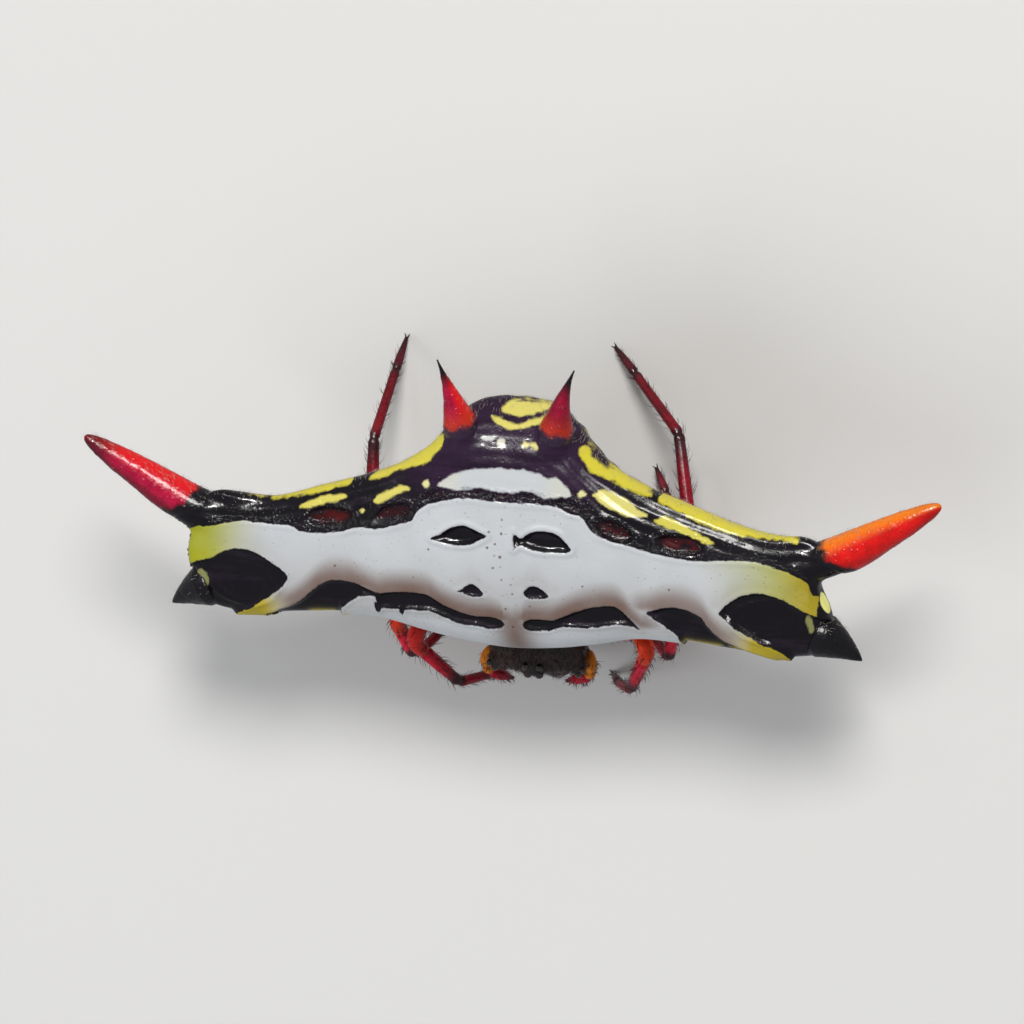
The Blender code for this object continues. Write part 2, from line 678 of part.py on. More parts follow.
def make_spinnerets(parts, materials, spaces):
    """A collar under the belly with three pairs of small cones on it."""
    x, y = SPINNERET_CENTRE
    height = SPINNERET_TOP - SPINNERET_TIP
    points = [Vector((x, y, SPINNERET_TOP - height * share)) for share in (0.0, 0.35, 0.7)]
    radii = [SPINNERET_RADIUS * share for share in (1.0, 0.95, 0.75)]
    collar = loft("spinnerets", rings_along(points, radii, 14), parts, materials["spinneret"])
    cones = []
    for place, size in ((-0.2, 1.0), (0.0, 0.7), (0.2, 0.9)):
        for side in (-1, 1):
            foot = Vector((x + side * 0.15, y + place, SPINNERET_TOP - height * 0.55))
            end = Vector((x + side * 0.1, y + place * 0.6, SPINNERET_TIP + 0.12 * (1 - size)))
            lines = [foot, foot.lerp(end, 0.5), end]
            cones.append(loft("cone", rings_along(lines, [0.12 * size, 0.11 * size, 0.06 * size], 8), parts))
    join(collar, cones)
    cut(collar, spaces)


def main():
    clear_scene()
    parts = new_collection("spiny orb weaver")
    cutters = new_collection("cutters")
    materials = make_materials()
    body_space = make_abdomen(parts, cutters, materials)
    head_space, sternum_space = make_head(parts, cutters, materials)
    make_waist(parts, materials, [head_space, body_space])
    make_spinnerets(parts, materials, [body_space])
    for side, word in ((1, "left"), (-1, "right")):
        make_palp(side, word, parts, materials, [head_space, sternum_space])
    for name in LEGS:
        make_leg(name, parts, materials, [head_space, sternum_space])
    for cutter in cutters.objects:
        cutter.hide_render = True
        cutter.display_type = "WIRE"
    for item in parts.objects:
        item.data.shade_smooth()
        item.data.set_sharp_from_angle(angle=math.radians(50))


main()
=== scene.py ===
"""Looks of a spiny orb weaver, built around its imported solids.

The hard shield with its scars and six spines, the hairy head with eyes, jaws and palps, the eight
slender legs, the spinnerets and every bristle are modelled here. Lengths are in millimetres, with
the same zero as the solids' own source, and become metres in the meshes: X runs across the animal,
+X to its left side, +Y to its rear end, +Z up, and Z is 0 on the floor.
"""
import json
import math

import bpy
import numpy as np
from mathutils import Matrix, Quaternion, Vector
from mathutils.bvhtree import BVHTree

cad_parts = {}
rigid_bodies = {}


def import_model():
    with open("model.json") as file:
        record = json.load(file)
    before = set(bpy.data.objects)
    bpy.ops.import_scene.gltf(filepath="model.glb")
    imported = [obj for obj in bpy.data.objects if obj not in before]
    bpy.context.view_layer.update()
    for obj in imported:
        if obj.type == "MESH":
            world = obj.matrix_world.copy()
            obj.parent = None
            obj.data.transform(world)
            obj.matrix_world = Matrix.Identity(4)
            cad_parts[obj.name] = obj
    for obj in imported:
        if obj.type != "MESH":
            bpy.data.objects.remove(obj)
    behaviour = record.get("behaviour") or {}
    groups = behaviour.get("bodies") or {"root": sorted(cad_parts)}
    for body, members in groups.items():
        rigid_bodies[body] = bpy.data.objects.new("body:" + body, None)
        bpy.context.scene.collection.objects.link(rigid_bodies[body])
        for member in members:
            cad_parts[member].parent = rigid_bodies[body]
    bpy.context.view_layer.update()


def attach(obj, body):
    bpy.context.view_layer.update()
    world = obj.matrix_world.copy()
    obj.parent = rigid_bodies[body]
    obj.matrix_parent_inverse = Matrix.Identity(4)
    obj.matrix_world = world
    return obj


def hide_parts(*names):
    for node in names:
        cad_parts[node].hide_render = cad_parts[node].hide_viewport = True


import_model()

bl_info = {
    "name": "Spiny orb weaver",
    "version": (1, 0, 0),
    "blender": (4, 5, 0),
    "location": "3D View > Sidebar > Orb weaver",
    "description": "Builds the shield, spines, head, legs and bristles of a spiny orb weaver",
    "category": "Object",
}

MM = 0.001
SIDES = ((1, "left"), (-1, "right"))
SHIELD_TOP = 5.8            # floor to the top of the shield
MIDDLE_Y = 0.108            # middle of the whole length, measured from the shield's own zero
ZERO = np.array((0.0, MIDDLE_Y, 0.0))

# Outlines of the abdomen: half width from the middle, and the value there.
# Heights count down from the top of the shield.
WING_REACH = 8.35
WING_ROUND_START = 7.5
WING_ROUNDING = 2.4
WING_NOTCH = 0.34           # how far the left wing's end is pinched between its two spines
WING_BULGE = 0.09           # how far the right wing's end swells there
RIGHT_WAIST = 0.14          # how much narrower the right wing is behind
FRONT_EDGE = [(0, -2.62), (1.2, -2.52), (2.2, -2.33), (3.3, -2.07), (4.2, -2.05), (5.2, -2.13),
              (6.2, -2.23), (7.0, -2.3), (7.6, -2.25)]
BACK_EDGE = [(0, 3.8), (0.9, 3.72), (1.5, 3.35), (2.0, 2.82), (2.6, 2.35), (3.4, 1.95),
             (4.9, 1.45), (6.0, 1.1), (6.9, 0.96), (7.6, 1.0)]
TOP = [(0, 0.0), (2.0, -0.1), (4.2, -0.3), (6.9, -0.45), (7.6, -0.6)]
FRONT_RIM = [(0, -1.4), (3.3, -1.3), (7.6, -1.2)]
BACK_RIM = [(0, -1.7), (1.5, -1.4), (2.6, -1.1), (5.0, -0.95), (7.6, -0.85)]
BELLY = [(0, -4.3), (1.0, -4.15), (2.0, -3.55), (3.0, -2.85), (4.2, -2.3), (6.9, -1.9), (7.6, -1.7)]
TOP_FULLNESS = [(0, 2.15), (2.5, 2.4), (4.5, 3.0), (7.6, 2.6)]
BELLY_FULLNESS_FRONT = [(0, 1.2), (2.5, 1.3), (4.5, 2.0), (7.6, 2.2)]
BELLY_FULLNESS_BACK = [(0, 1.7), (2.5, 1.6), (4.5, 2.0), (7.6, 2.2)]
SHIELD_STEP = 0.12
SHIELD_END_SHARES = (0.15, 0.3, 0.45, 0.6, 0.75, 0.87, 0.95)
TOP_POINTS = 44
BELLY_POINTS = 26

# Spines, given for the left side: root inside the body, colour change, tip, sideways bow,
# radius at the root, at the colour change and at the tip, and how slowly it thins towards the tip
SPINES = {
    "anterior": ((7.0, -1.25, -1.12), (8.12, -1.6, -1.17), (9.0, -2.22, -1.42),
                 -0.12, 0.7, 0.56, 0.025, 0.85),
    "median": ((6.88, -0.27, -1.15), (8.3, 0.76, -0.93), (11.12, 2.13, -0.72),
               0.06, 0.7, 0.53, 0.02, 0.46),
    "posterior": ((1.2, 2.5, -0.95), (1.37, 3.2, -0.55), (1.77, 5.0, -0.1),
                  -0.05, 0.6, 0.44, 0.02, 1.4),
}
# How much further the black of a spine reaches in front than in its middle
COLOUR_TILT = {"anterior": 0.0, "median": 0.83, "posterior": 0.0}
# How far the rear left (1) and rear right (-1) spine stand to the left of their mirrored places at root
# and tip, and their further bow
REAR_SPINE_SHIFTS = {1: (-0.08, 0.07, -0.08), -1: (0.07, 0.07, 0.0)}
BLACK_REACH = {1: 0.0, -1: 0.16}    # how much further the black of the long left (1) or right spine reaches
HORN_START = (-0.3, -0.24, -0.18, -0.12, -0.06, 0.0)    # first rings of a horn, up to the colour change
HORN_RINGS = 70
HORN_POINTS = 30
FLARE_RINGS = 22
FLARE_POINTS = 28

# Where white and yellow end and the black rear slope begins: place across and place along
REAR_LINE = [
    (-8.5, -0.1), (-8.1, 0.06), (-7.74, 0.11), (-7.26, 0.24), (-6.82, 0.32), (-6.2, 0.31), (-5.6, 0.32),
    (-5.3, 0.22), (-4.84, 0.2), (-4.19, 0.33), (-3.8, 0.45), (-3.4, 0.47), (-3.1, 0.52), (-2.64, 0.68),
    (-2.33, 0.82), (-2.19, 1.05), (-1.92, 1.24), (-1.56, 1.38), (-1.35, 1.43), (-0.92, 1.5), (0.05, 1.48),
    (1.16, 1.49), (1.65, 1.39), (1.99, 1.27), (2.16, 1.1), (2.35, 0.85), (2.59, 0.74), (3.15, 0.6),
    (3.57, 0.49), (4.11, 0.36), (4.96, 0.29), (5.88, 0.35), (6.51, 0.34), (6.94, 0.24), (7.57, 0.02),
    (7.9, -0.18), (8.05, -0.3), (8.2, -0.44), (8.5, -0.5)]
UNDER_LINE = -0.22          # from the rim down to where the pale colour ends in front
FAR = 3.0                   # distance kept by points that are nowhere near a marking

# Black scars on the pale part: how deep they lie, and rows of place across, front side, rear side.
# Where the front side lies past the shield's own edge, the black runs over it.
BLACK_SCARS = {
    "corner_right": (0.1, [
        (-8.6, -3.0, -1.25), (-8.2, -3.0, -0.93), (-7.74, -2.9, -0.72), (-7.34, -2.42, -0.5),
        (-7.02, -2.14, -0.4), (-6.64, -1.93, -0.41), (-6.28, -1.66, -0.56), (-5.88, -1.36, -0.79),
        (-5.73, -1.19, -0.91), (-5.65, -1.05, -1.0)]),
    "corner_left": (0.1, [
        (5.58, -1.06, -0.98), (5.8, -1.25, -0.74), (6.11, -1.47, -0.53), (6.62, -1.76, -0.43),
        (7.16, -2.05, -0.56), (7.5, -2.6, -0.74), (7.9, -3.0, -0.92), (8.2, -3.0, -1.0), (8.6, -3.0, -1.2)]),
    "second_right": (0.1, [
        (-6.35, -2.4, -2.12), (-6.1, -2.4, -2.03), (-5.87, -2.4, -1.91), (-5.61, -2.4, -1.79),
        (-5.35, -2.5, -1.61), (-5.1, -2.6, -1.38), (-4.82, -2.6, -1.13), (-4.55, -2.5, -1.0),
        (-4.38, -2.2, -0.965), (-4.28, -1.77, -0.96), (-4.2, -1.68, -0.96), (-3.98, -1.49, -0.965),
        (-3.7, -1.34, -1.05), (-3.45, -1.31, -1.15), (-3.24, -1.3, -1.2)]),
    "second_left": (0.1, [
        (3.72, -1.19, -1.13), (4.1, -1.44, -0.99), (4.38, -1.66, -0.95), (4.5, -1.85, -0.95),
        (4.64, -2.6, -0.97), (4.84, -2.6, -1.02), (5.12, -2.6, -1.18), (5.32, -2.5, -1.44),
        (5.6, -2.4, -1.71), (5.95, -2.4, -1.88), (6.25, -2.5, -2.01), (6.6, -2.6, -2.13),
        (6.9, -2.6, -2.24)]),
    "third_right": (0.11, [
        (-3.33, -1.36, -1.26), (-3.28, -1.6, -1.23), (-3.1, -1.63, -1.18), (-2.78, -1.6, -1.12),
        (-2.29, -1.6, -1.09), (-1.92, -1.58, -1.13), (-1.59, -1.71, -1.34), (-1.18, -1.87, -1.5),
        (-0.75, -1.89, -1.6), (-0.45, -1.94, -1.59), (-0.24, -1.95, -1.6), (-0.05, -1.89, -1.67),
        (0.02, -1.79, -1.77)]),
    "third_left": (0.11, [
        (0.49, -1.76, -1.74), (0.55, -1.86, -1.64), (0.75, -1.91, -1.56), (1.14, -1.88, -1.55),
        (1.3, -1.81, -1.54), (1.5, -1.74, -1.45), (1.86, -1.71, -1.27), (2.3, -1.68, -1.1),
        (2.85, -1.56, -1.02), (3.1, -1.54, -1.14), (3.3, -1.57, -1.36), (3.56, -1.66, -1.64)]),
    "eye_right": (0.1, [
        (-1.83, 0.38, 0.4), (-1.62, 0.33, 0.5), (-1.4, 0.29, 0.66), (-1.05, 0.28, 0.81), (-0.75, 0.34, 0.76),
        (-0.55, 0.45, 0.68), (-0.35, 0.57, 0.6)]),
    "eye_left": (0.1, [
        (0.34, 0.28, 0.75), (0.45, 0.38, 0.64), (0.54, 0.42, 0.61), (0.66, 0.36, 0.7), (0.9, 0.3, 0.81),
        (1.2, 0.28, 0.83), (1.5, 0.29, 0.74), (1.68, 0.3, 0.58), (1.82, 0.36, 0.42)]),
    "drip_outer": (0.02, [(-3.37, -1.74, -1.45), (-3.31, -1.79, -1.45), (-3.24, -1.7, -1.45)]),
    "drip_inner": (0.02, [(-2.72, -1.72, -1.5), (-2.67, -1.78, -1.5), (-2.62, -1.72, -1.5)]),
    "small_right": (0.07, [
        (-1.16, -0.95, -0.94), (-0.98, -1.0, -0.84), (-0.8, -1.06, -0.71), (-0.62, -1.05, -0.78),
        (-0.42, -1.01, -0.99)]),
    "small_left": (0.07, [
        (0.58, -0.88, -0.8), (0.68, -0.98, -0.68), (0.86, -0.99, -0.63), (1.05, -0.97, -0.7),
        (1.26, -0.9, -0.88)]),
}
END_SPOT = (-0.7, 4.75, 0.26)    # bright spot on the left wing's end: place along, height, radius
LEFT_WING_END = 8.03        # where the left wing's black end begins
# Painted shade: how strongly the white behind a scar is darkened brownish grey
SHADED_SCARS = {"second_right": 0.95, "second_left": 0.9, "third_right": 1.0, "third_left": 1.0,
                "corner_left": 0.3, "corner_right": 0.2, "small_right": 0.25, "small_left": 0.25}
# Oval dishes in the front corners: centres, half sizes, and ripples by share of the half size, width
# and height
CORNER_RINGS = [(-6.85, -1.36), (6.8, -1.22)]
CORNER_RING_HALF = (0.95, 0.56)
CORNER_RIPPLES = [(0.98, 0.09, 0.036), (0.66, 0.08, 0.026), (0.4, 0.07, 0.02)]
CORNER_DEPTH = 0.07
# Relief of the rear slope and below the rim: heights and depths, spacing of the folds, number of wrinkles
WHITE_EDGE_RISE = 0.035
FOLD_SPACING = 0.33
FOLD_HEIGHT = 0.014
WRINKLES = 34
WRINKLE_HEIGHT = 0.014
FURROW_DEPTH = 0.07
SWELLING_HEIGHT = 0.05

# Scars sunk in the black row, given for the left side: centre, half length, half width, turn, depth and
# redness
ROW_SCARS = [
    (0.0, 1.62, 0.26, 0.12, 0, 0.07, 0.9),
    (0.73, 1.66, 0.42, 0.14, 0, 0.08, 0.0),
    (1.75, 1.48, 0.42, 0.16, -22, 0.08, 0.2),
    (2.87, 0.92, 0.56, 0.26, -20, 0.12, 0.9),
    (4.56, 0.66, 0.66, 0.27, -6, 0.12, 1.0),
]

# Patches on the black: hue (-1 cream darkened by painted shade, 0.1 white, 0.35 cream, 1 yellow), and rows of
# place across, front side, rear side
WHITE_HUE = 0.1
PALE_PATCHES = [
    (0.1, [
        (-1.68, 1.74, 1.78), (-1.38, 1.7, 2.02), (-0.94, 1.68, 2.2), (-0.7, 1.78, 2.25), (-0.48, 1.81, 2.27),
        (-0.26, 1.76, 2.3), (0.01, 1.71, 2.32), (0.35, 1.75, 2.31), (0.56, 1.8, 2.31), (0.8, 1.77, 2.28),
        (1.01, 1.67, 2.22), (1.16, 1.64, 2.13), (1.33, 1.66, 2.21), (1.44, 1.7, 2.14), (1.63, 1.69, 1.98),
        (1.76, 1.74, 1.82)]),
    (0.3, [(-2.14, 1.72, 1.74), (-2.02, 1.63, 1.85), (-1.89, 1.73, 1.76)]),
    (0.75, [
        (-3.4, 1.16, 1.2), (-3.3, 1.12, 1.32), (-3.0, 1.24, 1.48), (-2.7, 1.42, 1.63), (-2.45, 1.54, 1.58)]),
    (0.8, [
        (-5.38, 0.8, 0.84), (-5.2, 0.8, 0.95), (-4.8, 0.92, 1.13), (-4.4, 1.05, 1.22), (-4.15, 1.17, 1.22)]),
    (0.6, [(-3.76, 0.88, 0.9), (-3.69, 0.84, 0.99), (-3.62, 0.9, 0.93)]),
    (1.0, [
        (-6.8, 0.92, 1.1), (-6.5, 0.91, 1.2), (-6.03, 0.92, 1.3), (-5.4, 1.07, 1.45), (-4.88, 1.2, 1.6),
        (-4.45, 1.36, 1.68), (-4.2, 1.43, 1.64), (-4.08, 1.5, 1.56)]),
    (0.95, [
        (-3.62, 1.63, 1.67), (-3.4, 1.65, 1.86), (-3.06, 1.82, 2.08), (-2.7, 1.99, 2.26), (-2.32, 2.1, 2.46),
        (-2.1, 2.21, 2.68), (-1.89, 2.4, 2.86), (-1.74, 2.58, 2.9), (-1.66, 2.76, 2.86)]),
    (0.3, [(1.9, 1.78, 1.8), (2.01, 1.7, 1.89), (2.12, 1.78, 1.81)]),
    (0.6, [
        (2.3, 1.76, 1.8), (2.5, 1.58, 1.93), (2.85, 1.42, 1.83), (3.2, 1.3, 1.66), (3.5, 1.3, 1.44),
        (3.7, 1.32, 1.36)]),
    (0.85, [
        (3.85, 1.2, 1.26), (4.19, 1.07, 1.34), (4.62, 0.96, 1.15), (5.01, 0.8, 0.99), (5.34, 0.71, 0.82),
        (5.42, 0.74, 0.78)]),
    (1.0, [
        (1.8, 2.74, 2.84), (1.9, 2.62, 2.88), (2.0, 2.5, 2.8), (2.17, 2.32, 2.62), (2.38, 2.21, 2.45),
        (2.75, 2.09, 2.3), (3.1, 1.92, 2.13), (3.5, 1.79, 1.95), (3.7, 1.77, 1.82)]),
    (1.0, [
        (3.9, 1.66, 1.85), (4.4, 1.46, 1.95), (5.17, 1.16, 1.72), (5.85, 0.99, 1.44), (6.44, 0.92, 1.24),
        (7.06, 0.9, 1.12), (7.5, 0.86, 0.94)]),
    (0.15, [(-0.66, 2.97, 3.0), (-0.57, 2.94, 3.04), (-0.36, 2.95, 3.04), (-0.3, 2.98, 3.0)]),
    (0.2, [(-0.26, 2.92, 2.95), (-0.2, 2.8, 3.0), (-0.1, 2.75, 3.02), (-0.03, 2.76, 2.96)]),
    (0.45, [
        (0.4, 2.86, 2.9), (0.46, 2.82, 2.98), (0.54, 2.82, 2.98), (0.61, 2.88, 2.95), (0.7, 2.84, 2.99),
        (0.79, 2.8, 2.98), (0.83, 2.84, 2.9)]),
    (0.7, [
        (-0.5, 3.44, 3.5), (-0.27, 3.3, 3.46), (-0.04, 3.22, 3.38), (0.21, 3.22, 3.36), (0.54, 3.3, 3.46),
        (0.87, 3.42, 3.56), (1.0, 3.5, 3.54)]),
    (0.7, [
        (-0.3, 3.62, 3.66), (-0.15, 3.55, 3.76), (0.15, 3.5, 3.78), (0.5, 3.56, 3.78), (0.8, 3.64, 3.76),
        (0.95, 3.7, 3.74)]),
    (-1.0, [
        (7.73, -1.1, -1.02), (7.79, -1.28, -0.95), (7.86, -1.43, -0.96), (7.93, -1.43, -1.1),
        (7.98, -1.38, -1.25)]),
    (-1.0, [
        (-8.26, -1.52, -1.43), (-8.15, -1.6, -1.42), (-8.05, -1.61, -1.15), (-7.95, -1.6, -1.16),
        (-7.86, -1.48, -1.3)]),
    (-1.0, [(-8.24, -1.25, -1.2), (-8.14, -1.29, -1.14), (-8.03, -1.35, -1.12), (-7.95, -1.35, -1.16)]),
]
PORES = [
    (0.04, 1.04), (0.01, 0.86), (0.02, 0.68), (-0.01, 0.07), (-0.14, 0.4), (0.0, -0.2), (0.01, -0.54),
    (-0.16, 0.1), (0.04, -0.97), (0.09, -1.33), (0.23, -1.84), (-0.3, 0.7), (-0.34, 0.28), (0.72, -1.2),
    (-2.3, -0.68), (2.1, -0.55), (-0.2, -0.24), (-4.4, -0.6), (4.3, -0.5), (-1.9, 0.1), (0.28, -0.9),
    (0.26, -0.66)]

# Head and thorax: place along Y, half width, top and underside above the floor
CARAPACE = [(-3.87, 0.7, 2.34, 1.76), (-3.76, 0.98, 2.52, 1.62), (-3.5, 1.19, 2.65, 1.47),
            (-3.05, 1.25, 2.66, 1.38), (-2.75, 1.28, 2.52, 1.34), (-2.45, 1.46, 2.44, 1.3),
            (-2.1, 1.6, 2.38, 1.28), (-1.75, 1.48, 2.2, 1.28), (-1.42, 1.1, 1.98, 1.32),
            (-1.2, 0.7, 1.8, 1.4)]
CARAPACE_FULLNESS = 2.5
CARAPACE_POINTS = 56
CARAPACE_RINGS = 64
EYE_MOUNDS = [((0.0, -3.62, 2.48), (0.38, 0.3, 0.24)), ((1.04, -3.6, 2.18), (0.25, 0.27, 0.23)),
              ((-1.04, -3.6, 2.18), (0.25, 0.27, 0.23))]
EYES = {
    "median": [
        (-0.15, -3.84, 2.56, 0.115), (0.15, -3.84, 2.56, 0.115), (-0.18, -3.62, 2.67, 0.105),
        (0.18, -3.62, 2.67, 0.105)],
    "left": [(1.1, -3.83, 2.26, 0.095), (1.22, -3.7, 2.31, 0.095)],
    "right": [(-1.1, -3.83, 2.26, 0.095), (-1.22, -3.7, 2.31, 0.095)],
}
STERNUM_CENTRE = (0.0, -2.25, 0.98)
STERNUM_HALF = (0.78, 0.98, 0.16)
WAIST = [(0.0, -1.6, 1.45), (0.0, -1.1, 1.72), (0.0, -0.6, 2.35), (0.0, -0.3, 2.75)]
SPINNERET_CENTRE = (0.0, 0.85)
SPINNERET_TOP = 1.52
SPINNERET_TIP = 0.72
COLLAR_HEIGHT = 0.45
SPINNERET_PAIRS = [(-0.2, 1.0), (0.0, 0.7), (0.2, 0.9)]    # place along from the middle, share of full size
JAW_TOP = (0.36, -3.7, 1.95)
JAW_BOTTOM = (0.31, -3.96, 0.74)
JAW_RADII = [(0, 0.26), (0.12, 0.31), (0.35, 0.325), (0.7, 0.27), (0.9, 0.21), (1, 0.13)]
FANG_BEND = 1.5             # radians

# Legs: trochanter, knee, end of the tibia, end of the metatarsus, tip on the floor
LEGS = {
    "leg_1_right": [
        (-1.75, -2.88, 1.5), (-3.56, -2.6, 3.25), (-2.23, -4.5, 1.6), (-1.62, -4.48, 0.62),
        (-1.35, -4.4, 0)],
    "leg_1_left": [
        (1.75, -2.88, 1.5), (3.38, -2.32, 3.25), (2.3, -4.3, 1.6), (1.72, -4.45, 0.62), (1.42, -4.4, 0)],
    "leg_2_right": [
        (-1.98, -2.32, 1.25), (-3.8, -2.58, 2.35), (-3.56, -4.05, 1.2), (-3.1, -3.6, 0.45),
        (-2.75, -3.35, 0)],
    "leg_2_left": [
        (1.98, -2.32, 1.25), (3.6, -1.75, 2.35), (3.2, -3.55, 1.2), (2.6, -3.25, 0.45), (2.25, -3.05, 0)],
    "leg_3_right": [
        (-1.95, -1.66, 1.22), (-3.5, -1.35, 2.0), (-3.85, -0.25, 1.15), (-3.55, 0.25, 0.5), (-3.3, 0.6, 0)],
    "leg_3_left": [
        (1.95, -1.64, 1.22), (3.32, -1.22, 1.9), (3.3, -0.1, 1.15), (2.85, 0.6, 0.45), (2.5, 1.1, 0)],
    "leg_4_right": [
        (-1.65, -0.98, 1.5), (-4.2, -0.5, 2.95), (-4.3, 1.96, 2.4), (-4.2, 3.35, 0.8), (-4.14, 4.0, 0)],
    "leg_4_left": [
        (1.65, -0.98, 1.5), (4.25, -0.3, 2.95), (3.55, 2.58, 1.9), (2.05, 3.7, 0.6), (1.39, 4.19, 0)],
}
COXA_ROOTS = {1: (0.55, -2.84, 1.3), 2: (0.55, -2.33, 1.13), 3: (0.55, -1.82, 1.12), 4: (0.4, -1.4, 1.27)}
# Painted light and shade: each pair's crimson is scaled brighter or darker for the light on it
LEG_PAINTED_LIGHT = {1: 0.92, 2: 1.4, 3: 1.0, 4: 0.45}    # how brightly the crimson of each pair shows
# Painted glow: how far the orange of light shining through the knee shows
KNEE_GLOW = {"leg_1_left": 1.0, "leg_1_right": 0.5, "leg_2_right": 1.0, "leg_2_left": 1.0}
LEG_BENDS = (0.5, 0.4, 0.4, 0.5)    # radii of the bends at trochanter, knee and the two joints after it
LEG_STEP = 0.05
LEG_POINTS = 16
CLAW_REACH = 0.15
CLAW_RADIUS = 0.022
PALPS = {
    "left": [
        (0.5, -3.22, 1.2), (0.88, -3.46, 1.32), (1.34, -3.5, 1.78), (1.18, -4.08, 1.55), (0.46, -4.4, 1.0)],
    "right": [
        (-0.5, -3.22, 1.2), (-0.92, -3.5, 1.32), (-1.56, -3.6, 1.75), (-1.44, -4.18, 1.5),
        (-1.0, -4.46, 0.95)],
}
PALP_BENDS = (0.3, 0.32, 0.35)
PALP_STEP = 0.035
MOUTH_LOBES = [((0.4, -3.2, 1.12), (0.25, 0.34, 0.19)), ((-0.4, -3.2, 1.12), (0.25, 0.34, 0.19)),
               ((0.0, -3.06, 1.05), (0.2, 0.2, 0.14))]

# Bristles and hairs of the legs: name, how many, share of the usual length, thickness, finish
LEG_HAIRS = (("bristles", 240, 1.0, 0.0085, "dark_bristle"), ("down", 170, 0.5, 0.0045, "brown_hair"))
# Hairs of the head: name, how many, least and greatest length, thickness, finish, start of the random draws
HEAD_HAIRS = (("head_bristles", 1900, 0.08, 0.22, 0.0075, "dark_bristle", 101),
              ("head_down", 1500, 0.07, 0.17, 0.0055, "brown_hair", 102))
RIM_HAIRS = 1300
DOWN_THICKNESS = 0.004
HAIR_PATCH = 0.003          # size of one hair's patch on the unwrap
HAIR_FLOOR = 0.004          # hairs bend no lower than this above the floor

# Small glossy beads on the shield: how many, and their least and greatest radius
GRANULES = 1100
GRANULE_HALF = (0.018, 0.04)

# Lights, in metres: place, height aimed at, width, colour
LIGHTS = {
    "key_light": ((0.05, 0.17, 0.2), 0.004, 0.08, (1.0, 0.985, 0.96)),
    "glint_light": ((-0.07, 0.2, 0.22), 0.004, 0.016, (1.0, 0.99, 0.97)),
    "fill_light": ((-0.16, -0.12, 0.16), 0.003, 0.2, (0.95, 0.98, 1.0)),
}
SKY_COLOUR = (0.93, 0.95, 1.0, 1.0)
FLOOR_SIZE = 0.9            # metres

# The camera: direction towards it, its roll, and where the middle of the shield shows
VIEW_FROM = (0.26, 0.26, 0.93)
VIEW_ROLL = -4.7
PIXELS_PER_MM = 40.0
IMAGE_PIXELS = 1024
SHIELD_MIDDLE_PIXEL = (500.0, 560.0)
SENSOR = 36.0


class WeaverSizes(bpy.types.PropertyGroup):
    """Sizes of the finer work."""
    skin_grain: bpy.props.FloatProperty(
        name="Shield grain", description="Spacing of the points on the shield", default=0.052 * MM,
        min=0.04 * MM, precision=6, unit="LENGTH")
    head_grain: bpy.props.FloatProperty(
        name="Head grain", description="Spacing of the points on the head", default=0.034 * MM,
        min=0.02 * MM, precision=6, unit="LENGTH")
    leg_thickness: bpy.props.FloatProperty(
        name="Leg thickness", description="Share of the leg's usual thickness", default=1.0, min=0.5,
        max=1.5, subtype="FACTOR")
    bristle_length: bpy.props.FloatProperty(
        name="Bristle length", description="Length of the dark bristles on the legs", default=0.3 * MM,
        min=0.05 * MM, precision=6, unit="LENGTH")
    hair_length: bpy.props.FloatProperty(
        name="Hair length", description="Length of the pale hairs on spines and rear rim",
        default=0.17 * MM, min=0.03 * MM, precision=6, unit="LENGTH")


def colour_property(name, description, value):
    return bpy.props.FloatVectorProperty(
        name=name, description=description, default=value, min=0.0, max=1.0, size=3, subtype="COLOR")


